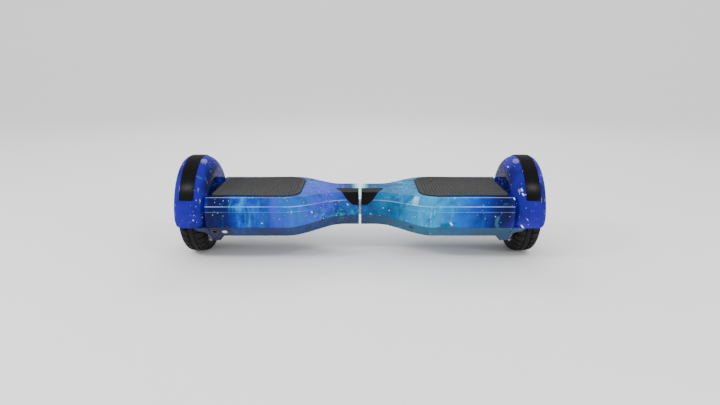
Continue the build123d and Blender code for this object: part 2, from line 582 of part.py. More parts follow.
def build_pad_plungers():
    """Barbed stems under the pad that press the sensors of the board below."""
    with BuildPart() as plungers:
        with BuildSketch(Plane.XY.offset(PAD_UNDER_Z - PLUNGER_LENGTH)):
            with Locations(*both_rows([(x, PLUNGER_Y) for x in PLUNGER_X])):
                Rectangle(*PLUNGER_SIZE)
        extrude(amount=PLUNGER_LENGTH)
        with BuildSketch(Plane.XY.offset(DECK_UNDER_Z - BARB_HEIGHT - POST_GAP)):
            with Locations(*both_rows([(x, PLUNGER_Y) for x in PLUNGER_X])):
                Rectangle(*BARB_SIZE)
        extrude(amount=BARB_HEIGHT)
    return plungers.part


# ---------------------------------------------------------------- chassis
def build_frame(bore_radius, pin_cut):
    """Cast chassis of a half: pivot housing, deck plate with ribs and the upper half of the axle seat."""
    start = HOUSING_END - 2 * BUSH_LENGTH
    with BuildPart() as frame:
        with BuildSketch(Plane.XY.offset(FRAME_UNDER_Z)):
            with BuildLine():
                Polyline(
                    (start, -FRAME_NECK_HALF), (FRAME_DECK_START, -FRAME_DECK_HALF),
                    (FRAME_DECK_END, -FRAME_DECK_HALF), (FRAME_DECK_END, FRAME_DECK_HALF),
                    (FRAME_DECK_START, FRAME_DECK_HALF), (start, FRAME_NECK_HALF), close=True,
                )
            make_face()
        extrude(amount=FRAME_DECK_THICKNESS)
        with BuildSketch(Plane.XY.offset(FRAME_UNDER_Z)):
            middle = (FRAME_DECK_START + FRAME_DECK_END) / 2
            with Locations(*both_rows([(middle, FRAME_DECK_HALF - FRAME_RIB / 2)])):
                Rectangle(FRAME_DECK_END - FRAME_DECK_START, FRAME_RIB)
        extrude(amount=-FRAME_RIB_DEPTH)
        with BuildSketch(Plane.XY.offset(FRAME_UNDER_Z)):
            with Locations(((HOUSING_END + FRAME_DECK_END) / 2, 0)):
                Rectangle(FRAME_DECK_END - HOUSING_END, FRAME_RIB)
        extrude(amount=-FRAME_SPINE_DEPTH)
        with BuildSketch(Plane.YZ.offset(AXLE_BLOCK_START)):
            with Locations((0, (AXLE_Z + FRAME_UNDER_Z) / 2)):
                Rectangle(2 * AXLE_BLOCK_HALF, FRAME_UNDER_Z - AXLE_Z)
        extrude(amount=AXLE_BLOCK_END - AXLE_BLOCK_START)
        add(bar_along_x(HOUSING_START, HOUSING_END, HOUSING_RADIUS))
        add(bar_along_x(0, HOUSING_END, bore_radius), mode=Mode.SUBTRACT)
        add(bar_along_x(HOUSING_END, tube_end() + CUT, WASHER_RADIUS + CUT), mode=Mode.SUBTRACT)
        add(bar_along_x(AXLE_START - CUT, FRAME_DECK_END + CUT, AXLE_RADIUS), mode=Mode.SUBTRACT)
        for x, y in FRAME_POSTS:
            add(upright(x, y, FRAME_UNDER_Z, FRAME_DECK_Z, SCREW_HOLE_RADIUS), mode=Mode.SUBTRACT)
        for x, y in clamp_bolt_places():
            add(upright(x, y, AXLE_Z, bolt_top(), BOLT_RADIUS), mode=Mode.SUBTRACT)
        add(pin_cut, mode=Mode.SUBTRACT)
    return frame.part


def clamp_bolt_places():
    """Centres (x, y) of the four bolts of an axle clamp."""
    middle = (AXLE_BLOCK_START + AXLE_BLOCK_END) / 2
    return [(middle + i * CLAMP_BOLT_X, j * CLAMP_BOLT_Y) for i in (-1, 1) for j in (-1, 1)]


def clamp_bottom():
    """Height of the clamp's underside, where the bolt heads sit."""
    return AXLE_Z - CLAMP_SPLIT - CLAMP_DEPTH


def bolt_top():
    """Height where the threaded holes of the clamp bolts end."""
    return clamp_bottom() + BOLT_LENGTH


def stop_slot():
    """Slot in the pivot housing that lets the stop pin swing as far as the twist limit."""
    reach = TWIST_LIMIT + degrees(asin((PIN_RADIUS + PIN_CLEARANCE) / PIVOT_RADIUS))
    with BuildPart() as slot:
        with BuildSketch(Plane.XZ):
            with Locations((PIN_X, AXLE_Z + PIN_TOP)):
                Rectangle(2 * (PIN_RADIUS + PIN_CLEARANCE), 2 * (PIN_TOP - PIVOT_RADIUS))
        revolve(axis=AXLE_AXIS, revolution_arc=2 * reach)
    return slot.part.rotate(AXLE_AXIS, -reach)


def build_axle_clamp():
    """Lower half of the axle seat, bolted up under the frame."""
    with BuildPart() as clamp:
        with BuildSketch(Plane.XY.offset(clamp_bottom())):
            with Locations(((AXLE_BLOCK_START + AXLE_BLOCK_END) / 2, 0)):
                Rectangle(AXLE_BLOCK_END - AXLE_BLOCK_START, 2 * AXLE_BLOCK_HALF)
        extrude(amount=CLAMP_DEPTH)
        chamfer(clamp.faces().sort_by(Axis.Z)[0].edges().filter_by(Axis.X), length=CLAMP_CHAMFER)
        add(bar_along_x(AXLE_START - CUT, FRAME_DECK_END + CUT, AXLE_RADIUS), mode=Mode.SUBTRACT)
        for x, y in clamp_bolt_places():
            add(upright(x, y, clamp_bottom(), AXLE_Z, BOLT_RADIUS), mode=Mode.SUBTRACT)
    return clamp.part


def headed_bolt(x, y, seat, length, shank, head, head_height, recess, recess_depth):
    """Bolt that points up, its socket head below the seat."""
    with BuildPart() as bolt:
        with BuildSketch(Plane.XY.offset(seat)):
            with Locations((x, y)):
                Circle(shank)
        extrude(amount=length)
        with BuildSketch(Plane.XY.offset(seat)):
            with Locations((x, y)):
                Circle(head)
        extrude(amount=-head_height)
        with BuildSketch(Plane.XY.offset(seat - head_height)):
            with Locations((x, y)):
                RegularPolygon(recess, 6)
        extrude(amount=recess_depth, mode=Mode.SUBTRACT)
    return bolt.part


def build_clamp_bolts():
    """Four bolts of an axle clamp."""
    with BuildPart() as bolts:
        for x, y in clamp_bolt_places():
            add(headed_bolt(x, y, clamp_bottom(), BOLT_LENGTH - BOLT_END_GAP, BOLT_RADIUS - BOLT_CLEARANCE,
                            BOLT_HEAD_RADIUS, BOLT_HEAD_HEIGHT, BOLT_RADIUS, BOLT_HEAD_HEIGHT / 2))
    return bolts.part


def build_casing_screws():
    """Screws that pull the casings together, and those that hold the chassis under the platform."""
    seats = [(x, y, SCREW_SEAT_Z) for x, y in CASING_POSTS] + [(x, y, FRAME_UNDER_Z) for x, y in FRAME_POSTS]
    with BuildPart() as screws:
        for x, y, seat in seats:
            length = min(SCREW_LENGTH, PAD_FLOOR_Z - BOSS_WALL - seat - BOLT_END_GAP)
            add(headed_bolt(x, y, seat, length, SCREW_SHANK_RADIUS, SCREW_HEAD_RADIUS, SCREW_HEAD_HEIGHT,
                            SCREW_RECESS_RADIUS, SCREW_RECESS_DEPTH))
    return screws.part


def build_pivot_tube():
    """Steel tube fixed in the left frame, about which the right half twists, with two ring grooves."""
    with BuildPart() as tube:
        add(bar_along_x(-HOUSING_END, tube_end(), PIVOT_RADIUS))
        add(bar_along_x(-FAR, FAR, PIVOT_BORE_RADIUS), mode=Mode.SUBTRACT)
        for start in ring_starts():
            with BuildSketch(Plane.YZ.offset(start)):
                with Locations((0, AXLE_Z)):
                    Circle(PIVOT_RADIUS + CUT)
                    Circle(PIVOT_RADIUS - RING_DEPTH, mode=Mode.SUBTRACT)
            extrude(amount=RING_THICKNESS, mode=Mode.SUBTRACT)
        for x in (-PIN_X, PIN_X):
            add(upright(x, 0, AXLE_Z, AXLE_Z + PIN_TOP, PIN_RADIUS), mode=Mode.SUBTRACT)
    return tube.part


def tube_end():
    """Where the pivot tube ends in the right half."""
    return HOUSING_END + WASHER_THICKNESS + RING_THICKNESS + PIVOT_TAIL


def ring_starts():
    """Inner faces of the two retaining rings."""
    return (HOUSING_START - WASHER_THICKNESS - RING_THICKNESS, HOUSING_END + WASHER_THICKNESS)


def build_retaining_rings():
    """Snap rings in the grooves of the pivot tube, each with its open gap."""
    with BuildPart() as rings:
        for start in ring_starts():
            with BuildSketch(Plane.YZ.offset(start)):
                with Locations((0, AXLE_Z)):
                    Circle(RING_RADIUS)
                    Circle(PIVOT_RADIUS - RING_DEPTH, mode=Mode.SUBTRACT)
                with Locations((0, AXLE_Z - PIVOT_RADIUS)):
                    Rectangle(PIVOT_RADIUS / 2, PIVOT_RADIUS / 2, mode=Mode.SUBTRACT)
            extrude(amount=RING_THICKNESS)
    return rings.part


def build_thrust_washers():
    """Washers between the right half's housing and the retaining rings."""
    with BuildPart() as washers:
        for start in (HOUSING_START - WASHER_THICKNESS, HOUSING_END):
            with BuildSketch(Plane.YZ.offset(start)):
                with Locations((0, AXLE_Z)):
                    Circle(WASHER_RADIUS)
                    Circle(PIVOT_RADIUS + RUNNING_CLEARANCE, mode=Mode.SUBTRACT)
            extrude(amount=WASHER_THICKNESS)
    return washers.part


def build_pivot_bushes():
    """Nylon bushes that the right half turns on."""
    with BuildPart() as bushes:
        for start in (HOUSING_START, HOUSING_END - BUSH_LENGTH):
            with BuildSketch(Plane.YZ.offset(start)):
                with Locations((0, AXLE_Z)):
                    Circle(PIVOT_RADIUS + BUSH_WALL)
                    Circle(PIVOT_RADIUS + RUNNING_CLEARANCE, mode=Mode.SUBTRACT)
            extrude(amount=BUSH_LENGTH)
    return bushes.part


def build_pivot_pins():
    """Pins in the pivot tube: one locks it in the left frame, the other limits the twist of the halves."""
    with BuildPart() as pins:
        for x in (-PIN_X, PIN_X):
            add(upright(x, 0, AXLE_Z + PIVOT_BORE_RADIUS - PIN_FOOT, AXLE_Z + PIN_TOP, PIN_RADIUS))
    return pins.part


# ---------------------------------------------------------------- wheel and hub motor
def build_tyre():
    """Solid rubber tyre with cross grooves over its shoulders."""
    half, low = TYRE_WIDTH / 2, RIM_RADIUS
    seat = RIM_WIDTH / 2 - RIM_FLANGE_WIDTH
    blank = revolved_about_axle(
        [(WHEEL_X - seat, low), (WHEEL_X - seat, low + RIM_FLANGE), (WHEEL_X - half, low + RIM_FLANGE),
         (WHEEL_X - half, TYRE_RADIUS), (WHEEL_X + half, TYRE_RADIUS), (WHEEL_X + half, low + RIM_FLANGE),
         (WHEEL_X + seat, low + RIM_FLANGE), (WHEEL_X + seat, low)],
        [(3, TYRE_SHOULDER), (4, TYRE_SHOULDER)],
    )
    with BuildPart() as tyre:
        add(blank)
        for side in (-1, 1):
            with BuildSketch(Plane.YZ.offset(WHEEL_X + side * (half - TREAD_REACH))):
                with Locations((0, AXLE_Z)):
                    with PolarLocations(TYRE_RADIUS, TREAD_GROOVES):
                        Rectangle(2 * TREAD_DEPTH, TREAD_WIDTH)
            extrude(amount=side * TREAD_REACH, mode=Mode.SUBTRACT)
    return tyre.part


def cover_screw_places():
    """Screw circle of a hub cover, in the plane across the axle."""
    return PolarLocations(COVER_SCREW_CIRCLE, COVER_SCREWS, start_angle=180 / COVER_SCREWS)


def cover_screw_bars(radius, face, amount):
    """Round bars on the screw circle, from a face of the rim along the axle."""
    with BuildPart() as bars:
        with BuildSketch(Plane.YZ.offset(face)):
            with Locations((0, AXLE_Z)):
                with cover_screw_places():
                    Circle(radius)
        extrude(amount=amount)
    return bars.part


def build_rim():
    """Rotor ring of the hub motor, with flanges that hold the tyre and threaded holes for the covers."""
    flange = RIM_RADIUS + RIM_FLANGE
    with BuildPart() as rim:
        add(revolved_about_axle([
            (RIM_START, RIM_BORE_RADIUS), (RIM_START, flange), (RIM_START + RIM_FLANGE_WIDTH, flange),
            (RIM_START + RIM_FLANGE_WIDTH, RIM_RADIUS), (RIM_END - RIM_FLANGE_WIDTH, RIM_RADIUS),
            (RIM_END - RIM_FLANGE_WIDTH, flange), (RIM_END, flange), (RIM_END, RIM_BORE_RADIUS),
        ]))
        for face, inward in ((RIM_END, -1), (RIM_START, 1)):
            add(cover_screw_bars(COVER_SCREW_RADIUS, face, inward * COVER_SCREW_LENGTH), mode=Mode.SUBTRACT)
    return rim.part


def build_hub_cover(outer):
    """End cover of the hub motor with its bearing seat; only the inner one lets the axle out."""
    face, inward = (RIM_END, -1) if outer else (RIM_START, 1)
    bearing = BEARING_STARTS[1] if outer else BEARING_STARTS[0]
    outside = face - inward * COVER_THICKNESS
    boss_end = bearing if outer else bearing + BEARING_WIDTH
    with BuildPart() as cover:
        add(bar_along_x(min(face, outside), max(face, outside), RIM_RADIUS - COVER_EDGE))
        spigot = face + inward * COVER_SPIGOT
        add(bar_along_x(min(face, spigot), max(face, spigot), RIM_BORE_RADIUS - COVER_CLEARANCE))
        add(bar_along_x(min(face, boss_end), max(face, boss_end), BEARING_RADIUS + BEARING_BOSS))
        add(bar_along_x(bearing, bearing + BEARING_WIDTH, BEARING_RADIUS), mode=Mode.SUBTRACT)
        if not outer:
            add(bar_along_x(outside - CUT, bearing + BEARING_WIDTH, AXLE_RADIUS + CUT), mode=Mode.SUBTRACT)
        add(cover_screw_bars(COVER_SCREW_RADIUS, outside, inward * COVER_THICKNESS), mode=Mode.SUBTRACT)
        if outer:
            with BuildSketch(Plane.YZ.offset(outside - COVER_DISH)):
                with Locations((0, AXLE_Z)):
                    Circle(RIM_BORE_RADIUS - COVER_SCREW_HEAD)
                    Circle(BEARING_RADIUS + BEARING_BOSS, mode=Mode.SUBTRACT)
            extrude(amount=COVER_DISH, mode=Mode.SUBTRACT)
    return cover.part


def build_cover_screws():
    """Screws of both hub covers, heads on the outside."""
    with BuildPart() as screws:
        for face, outward in ((RIM_END + COVER_THICKNESS, 1), (RIM_START - COVER_THICKNESS, -1)):
            add(cover_screw_bars(COVER_SCREW_HEAD, face, outward * COVER_SCREW_HEAD_HEIGHT))
            add(cover_screw_bars(COVER_SCREW_RADIUS, face, -outward * COVER_SCREW_LENGTH))
    return screws.part


def build_wheel_bearings():
    """Ball bearings in the two covers: each an outer ring, an inner ring and a closed ball race."""
    with BuildPart() as bearings:
        for start in BEARING_STARTS:
            with BuildSketch(Plane.YZ.offset(start)):
                with Locations((0, AXLE_Z)):
                    Circle(BEARING_RADIUS)
                    Circle(AXLE_RADIUS + RUNNING_CLEARANCE, mode=Mode.SUBTRACT)
            extrude(amount=BEARING_WIDTH)
            for face, inward in ((start, 1), (start + BEARING_WIDTH, -1)):
                with BuildSketch(Plane.YZ.offset(face)):
                    with Locations((0, AXLE_Z)):
                        Circle(BEARING_RADIUS - BEARING_BOSS / 2)
                        Circle(AXLE_RADIUS + BEARING_BOSS / 2, mode=Mode.SUBTRACT)
                extrude(amount=inward * BEARING_FACE, mode=Mode.SUBTRACT)
    return bearings.part


def build_magnets():
    """Magnets seated round the inside of the rotor ring."""
    with BuildPart() as magnets:
        with BuildSketch(Plane.YZ.offset(WHEEL_X - MAGNET_LENGTH / 2)):
            with Locations((0, AXLE_Z)):
                with PolarLocations(MAGNET_OUTER - MAGNET_THICKNESS / 2, MAGNET_COUNT):
                    Rectangle(MAGNET_THICKNESS, MAGNET_WIDTH)
        extrude(amount=MAGNET_LENGTH)
    return magnets.part


def build_stator():
    """Laminated stator on its spider: yoke ring, teeth and broad tooth tips."""
    tip = STATOR_RADIUS - TOOTH_TIP
    with BuildPart() as stator:
        with BuildSketch(Plane.YZ.offset(WHEEL_X - STATOR_WIDTH / 2)):
            with Locations((0, AXLE_Z)):
                Circle(STATOR_YOKE_RADIUS)
                with PolarLocations((STATOR_YOKE_RADIUS + tip) / 2, STATOR_TEETH):
                    Rectangle(tip - STATOR_YOKE_RADIUS + TOOTH_OVERLAP, TOOTH_WIDTH)
                with PolarLocations(tip + (TOOTH_TIP - TOOTH_OVERLAP) / 2, STATOR_TEETH):
                    Rectangle(TOOTH_TIP, TOOTH_TIP_WIDTH)
                Circle(STATOR_YOKE_RADIUS - STATOR_YOKE_WALL, mode=Mode.SUBTRACT)
        extrude(amount=STATOR_WIDTH)
        with BuildSketch(Plane.YZ.offset(WHEEL_X - SPIDER_WIDTH / 2)):
            with Locations((0, AXLE_Z)):
                Circle(STATOR_YOKE_RADIUS - STATOR_YOKE_WALL / 2)
                Circle(AXLE_RADIUS, mode=Mode.SUBTRACT)
        extrude(amount=SPIDER_WIDTH)
    return stator.part


def build_windings():
    """One coil round each tooth."""
    tip = STATOR_RADIUS - TOOTH_TIP
    length = tip - STATOR_YOKE_RADIUS - COIL_END_GAP * 2
    width, depth = TOOTH_WIDTH + 2 * COIL_CLEARANCE, STATOR_WIDTH + 2 * COIL_CLEARANCE
    with BuildPart() as coil:
        with BuildSketch(Plane.XY.offset(AXLE_Z + STATOR_YOKE_RADIUS + COIL_END_GAP)):
            with Locations((WHEEL_X, 0)):
                RectangleRounded(depth + 2 * COIL_WALL, width + 2 * COIL_WALL, COIL_ROUND)
                Rectangle(depth, width, mode=Mode.SUBTRACT)
        extrude(amount=length)
    with BuildPart() as windings:
        for tooth in range(STATOR_TEETH):
            add(coil.part.rotate(AXLE_AXIS, tooth * 360 / STATOR_TEETH - 90))
    return windings.part


def build_axle():
    """Fixed axle of the hub motor, bored from its inner end for the motor cable."""
    end = BEARING_STARTS[1] + BEARING_WIDTH - AXLE_END_GAP
    with BuildPart() as axle:
        add(bar_along_x(AXLE_START, end, AXLE_RADIUS))
        chamfer(axle.edges().filter_by(GeomType.CIRCLE), length=AXLE_CHAMFER)
        add(bar_along_x(AXLE_START - CUT, AXLE_BORE_END, AXLE_BORE_RADIUS), mode=Mode.SUBTRACT)
    return axle.part


def build_motor_cable():
    """Phase cable that leaves the axle's bore and turns down towards the boards."""
    start, turn = AXLE_BORE_END - AXLE_END_GAP, AXLE_START - MOTOR_CABLE_LEAD
    with BuildPart() as cable:
        with BuildLine() as route:
            FilletPolyline(
                (start, 0, AXLE_Z), (turn, 0, AXLE_Z), (turn, MOTOR_CABLE_BACK, AXLE_Z - MOTOR_CABLE_DROP),
                radius=MOTOR_CABLE_BEND,
            )
        with BuildSketch(Plane.YZ.offset(start)):
            with Locations((0, AXLE_Z)):
                Circle(MOTOR_CABLE_RADIUS)
        sweep(path=route.line)
    return cable.part


# ---------------------------------------------------------------- electronics
def box_between(x, y, z):
    """Box between pairs of limits along each axis."""
    with BuildPart() as box:
        with BuildSketch(Plane.XY.offset(z[0])):
            with Locations(((x[0] + x[1]) / 2, (y[0] + y[1]) / 2)):
                Rectangle(x[1] - x[0], y[1] - y[0])
        extrude(amount=z[1] - z[0])
    return box.part


def battery_limits():
    """Limits of the battery along X, Y and Z."""
    length, width, height = BATTERY_SIZE
    top = FRAME_UNDER_Z - BATTERY_DROP
    return (BATTERY_X - length / 2, BATTERY_X + length / 2), (-width / 2, width / 2), (top - height, top)


def build_battery_pack():
    """Shrink-wrapped battery pack with its socket for the link cable."""
    x, y, z = battery_limits()
    with BuildPart() as battery:
        add(box_between(x, y, z))
        fillet(battery.edges().filter_by(Axis.X), radius=BATTERY_ROUND)
        add(bar_along_x(plug_end() + CABLE_PLUG_GAP, x[0], CABLE_PLUG_RADIUS))
    return battery.part


def plug_end():
    """Where the link cable's plug ends, on either side."""
    return FRAME_DECK_START + CABLE_PLUG + CABLE_PLUG_GAP


def build_battery_strap():
    """Sheet steel strap that hangs the battery from the chassis."""
    x, y, z = battery_limits()
    inner = y[1] + STRAP_CLEARANCE
    outer = inner + STRAP_THICKNESS
    bottom = z[0] - STRAP_CLEARANCE
    ear = FRAME_DECK_HALF - FRAME_RIB - STRAP_CLEARANCE
    start, end = BATTERY_X - STRAP_WIDTH / 2, BATTERY_X + STRAP_WIDTH / 2
    with BuildPart() as strap:
        add(box_between((start, end), (-outer, outer), (bottom - STRAP_THICKNESS, FRAME_UNDER_Z)))
        room = box_between((start - CUT, end + CUT), (-inner, inner), (bottom, FRAME_UNDER_Z + CUT))
        add(room, mode=Mode.SUBTRACT)
        for side in (-1, 1):
            limits = sorted((side * inner, side * ear))
            add(box_between((start, end), limits, (FRAME_UNDER_Z - STRAP_THICKNESS, FRAME_UNDER_Z)))
    return strap.part


def build_main_board():
    """Control board on four spacers under the chassis, with capacitors, power transistors and plug headers."""
    length, width = MAIN_BOARD_SIZE
    top = FRAME_UNDER_Z - SPACER_LENGTH
    spacing = (length - 2 * SPACER_INSET, width - 2 * SPACER_INSET)
    header_end = MAIN_BOARD_X - length / 2 + HEADER_OVERLAP
    with BuildPart() as board:
        with BuildSketch(Plane.XY.offset(top - BOARD)):
            with Locations((MAIN_BOARD_X, 0)):
                Rectangle(length, width)
        extrude(amount=BOARD)
        with BuildSketch(Plane.XY.offset(top)):
            with Locations((MAIN_BOARD_X, 0)):
                with GridLocations(*spacing, 2, 2):
                    Circle(SPACER_RADIUS)
        extrude(amount=SPACER_LENGTH)
        with BuildSketch(Plane.XY.offset(top - BOARD)):
            with Locations((MAIN_BOARD_X + length / 4, width / 4)):
                with GridLocations(CAPACITOR_PITCH, CAPACITOR_PITCH, 2, 1):
                    Circle(CAPACITOR_RADIUS)
        extrude(amount=-CAPACITOR_LENGTH)
        with BuildSketch(Plane.XY.offset(top - BOARD)):
            with Locations((MAIN_BOARD_X, -width / 3)):
                with GridLocations(TRANSISTOR_PITCH, TRANSISTOR_PITCH, TRANSISTOR_COUNT, 1):
                    Rectangle(*TRANSISTOR_SIZE)
        extrude(amount=-CAPACITOR_RADIUS)
        with BuildSketch(Plane.XY.offset(top - BOARD)):
            with Locations((MAIN_BOARD_X - length / 4, width / 8)):
                Rectangle(CHIP_WIDTH, CHIP_WIDTH)
        extrude(amount=-BOARD)
        add(bar_along_x(plug_end() + CABLE_PLUG_GAP, header_end, CABLE_PLUG_RADIUS))
    return board.part


def build_sensor_board():
    """Board on four spacers above the chassis, with an optical switch under each plunger."""
    length, width = SENSOR_BOARD_SIZE
    bottom = FRAME_DECK_Z + SENSOR_LIFT
    with BuildPart() as board:
        with BuildSketch(Plane.XY.offset(bottom)):
            with Locations((SENSOR_BOARD_X, 0)):
                Rectangle(length, width)
        extrude(amount=BOARD)
        with BuildSketch(Plane.XY.offset(FRAME_DECK_Z)):
            with Locations((SENSOR_BOARD_X, 0)):
                with GridLocations(length - 2 * SPACER_INSET, width - SPACER_INSET, 2, 2):
                    Circle(SENSOR_LEG_RADIUS)
        extrude(amount=SENSOR_LIFT)
        with BuildSketch(Plane.XY.offset(bottom + BOARD)):
            with Locations(*both_rows([(x, PLUNGER_Y) for x in PLUNGER_X])):
                Rectangle(*SENSOR_SWITCH_SIZE)
        extrude(amount=BOARD)
    return board.part


def light_plane(lift):
    """Plane behind the lamp lens, facing up and to the front, at a height above the pivot housing."""
    outward = Vector(0, -1, 1).normalized()
    return Plane(
        Vector(LIGHT_BOARD_X, 0, AXLE_Z) + outward * (HOUSING_RADIUS + lift), x_dir=(1, 0, 0), z_dir=outward
    )


def build_light_board():
    """Row of lamps on a small board behind the lens, on two legs that stand on the pivot housing."""
    length, width = LIGHT_BOARD_SIZE
    with BuildPart() as board:
        with BuildSketch(light_plane(LIGHT_BOARD_LIFT)):
            Rectangle(length, width)
        extrude(amount=BOARD)
        with BuildSketch(light_plane(LIGHT_BOARD_LIFT + BOARD)):
            with GridLocations(length / LED_COUNT, width, LED_COUNT, 1):
                Rectangle(*LED_SIZE[:2])
        extrude(amount=LED_SIZE[2])
        with BuildSketch(light_plane(0)):
            with GridLocations(length - 2 * SPACER_INSET, width, 2, 1):
                Circle(LIGHT_LEG_RADIUS)
        extrude(amount=LIGHT_BOARD_LIFT)
    return board.part


def build_link_cable():
    """Cable between the halves, straight through the pivot tube, with a round plug at each end."""
    end = plug_end()
    with BuildPart() as cable:
        add(bar_along_x(-end, end, CABLE_RADIUS))
        for start in (-end, end - CABLE_PLUG):
            add(bar_along_x(start, start + CABLE_PLUG, CABLE_PLUG_RADIUS))
    return cable.part


def build_charge_socket():
    """Round charging socket with its pins, flush in the sill of the left half."""
    face = port_plane(SOCKET_X)
    with BuildPart() as socket:
        with BuildSketch(face.offset(-SOCKET_DEPTH)):
            Circle(SOCKET_RADIUS)
        extrude(amount=SOCKET_DEPTH)
        with BuildSketch(face):
            Circle(SOCKET_RADIUS + SOCKET_FLANGE)
        extrude(amount=PORT_RIM)
        with BuildSketch(face.offset(PORT_RIM)):
            Circle(SOCKET_CAVITY_RADIUS)
        extrude(amount=-SOCKET_CAVITY_DEPTH - PORT_RIM, mode=Mode.SUBTRACT)
        with BuildSketch(face.offset(-SOCKET_CAVITY_DEPTH)):
            with PolarLocations(SOCKET_PIN_CIRCLE, SOCKET_PINS):
                Circle(SOCKET_PIN_RADIUS)
        extrude(amount=SOCKET_PIN_LENGTH)
    return socket.part


def build_power_switch():
    """Body of the power switch, a cup that the cap slides in."""
    face = port_plane(SWITCH_X)
    with BuildPart() as switch:
        with BuildSketch(face.offset(-SWITCH_DEPTH)):
            Circle(SWITCH_RADIUS)
        extrude(amount=SWITCH_DEPTH)
        with BuildSketch(face):
            Circle(SWITCH_RADIUS + SWITCH_FLANGE)
        extrude(amount=PORT_RIM)
        with BuildSketch(face.offset(PORT_RIM)):
            Circle(SWITCH_CAP_RADIUS + SWITCH_CAP_CLEARANCE)
        extrude(amount=-PORT_RIM - SWITCH_CAP_LENGTH - SWITCH_TRAVEL, mode=Mode.SUBTRACT)
    return switch.part


def build_power_button():
    """Cap of the power switch, which slides inwards when pressed."""
    top = port_plane(SWITCH_X).offset(PORT_RIM + SWITCH_CAP_PROUD)
    with BuildPart() as button:
        with BuildSketch(top):
            Circle(SWITCH_CAP_RADIUS)
        extrude(amount=-SWITCH_CAP_LENGTH)
        chamfer(button.edges().group_by(Axis((0, 0, 0), top.z_dir))[-1], length=BUTTON_EDGE)
    return button.part


# ---------------------------------------------------------------- assembly
PAIRED = {
    "bumper_strip": build_bumper_strip,
    "light_lens": build_light_lens,
    "light_board": build_light_board,
    "foot_pad": build_foot_pad,
    "pad_plungers": build_pad_plungers,
    "sensor_board": build_sensor_board,
    "upper_shell": build_upper_shell,
    "casing_screws": build_casing_screws,
    "axle": build_axle,
    "axle_clamp": build_axle_clamp,
    "clamp_bolts": build_clamp_bolts,
    "motor_stator": build_stator,
    "motor_windings": build_windings,
    "motor_cable": build_motor_cable,
    "rim": build_rim,
    "tyre": build_tyre,
    "hub_cover": lambda: build_hub_cover(True),
    "inner_hub_cover": lambda: build_hub_cover(False),
    "cover_screws": build_cover_screws,
    "wheel_bearings": build_wheel_bearings,
    "rotor_magnets": build_magnets,
}
for name, build in PAIRED.items():
    right_piece = build()
    for side, sign in SIDES:
        finish(on_side(right_piece, sign), f"{name}_{side}")

finish(on_side(build_lower_shell(True), -1), "lower_shell_left")
finish(build_lower_shell(False), "lower_shell_right")
lock_hole = upright(PIN_X, 0, AXLE_Z, AXLE_Z + PIN_TOP, PIN_RADIUS)
finish(on_side(build_frame(PIVOT_RADIUS, lock_hole), -1), "frame_left")
finish(build_frame(PIVOT_RADIUS + BUSH_WALL, stop_slot()), "frame_right")
finish(on_side(build_main_board(), -1), "main_board")
finish(on_side(build_charge_socket(), -1), "charge_socket")
finish(on_side(build_power_switch(), -1), "power_switch")
finish(on_side(build_power_button(), -1), "power_button")
finish(build_battery_pack(), "battery_pack")
finish(build_battery_strap(), "battery_strap")
finish(build_pivot_tube(), "pivot_tube")
finish(build_pivot_bushes(), "pivot_bushes")
finish(build_retaining_rings(), "retaining_rings")
finish(build_thrust_washers(), "thrust_washers")
finish(build_pivot_pins(), "pivot_pins")
finish(build_link_cable(), "link_cable")
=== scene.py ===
"""Self balancing board: finishes, fine surfaces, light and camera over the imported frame."""
import json
import logging
import math
from dataclasses import dataclass, field
from enum import Enum
from typing import Any, Sequence, Union

import bmesh
import bpy
from mathutils import Matrix, Vector


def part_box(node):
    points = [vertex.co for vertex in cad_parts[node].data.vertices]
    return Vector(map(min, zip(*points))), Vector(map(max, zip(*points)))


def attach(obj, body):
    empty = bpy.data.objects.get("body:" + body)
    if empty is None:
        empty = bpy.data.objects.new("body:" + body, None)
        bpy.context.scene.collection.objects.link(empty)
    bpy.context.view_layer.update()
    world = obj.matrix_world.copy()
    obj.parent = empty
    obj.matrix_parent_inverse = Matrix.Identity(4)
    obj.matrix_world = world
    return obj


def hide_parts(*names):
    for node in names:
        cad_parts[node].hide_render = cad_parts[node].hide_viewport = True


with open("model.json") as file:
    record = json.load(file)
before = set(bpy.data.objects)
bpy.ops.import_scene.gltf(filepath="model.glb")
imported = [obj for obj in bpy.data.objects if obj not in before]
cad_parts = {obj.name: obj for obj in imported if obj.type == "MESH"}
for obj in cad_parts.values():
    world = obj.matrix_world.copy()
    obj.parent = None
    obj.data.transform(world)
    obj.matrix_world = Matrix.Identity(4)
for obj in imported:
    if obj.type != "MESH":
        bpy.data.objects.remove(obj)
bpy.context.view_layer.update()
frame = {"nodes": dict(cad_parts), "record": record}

log = logging.getLogger("board")

Colour = tuple[float, float, float, float]
Triple = tuple[float, float, float]
Number = Union["Sock", float]

MM = 0.001
MERGE = 0.01 * MM


class Side(Enum):
    """The two halves of the board."""

    LEFT = "left"
    RIGHT = "right"

    @property
    def sign(self) -> int:
        """Direction of this side along X."""
        return -1 if self is Side.LEFT else 1

    def node(self, name: str) -> str:
        """Name of a CAD node on this side."""
        return f"{name}_{self.value}"


def grey(value: float) -> Colour:
    """Opaque grey of one value."""
    return (value, value, value, 1.0)


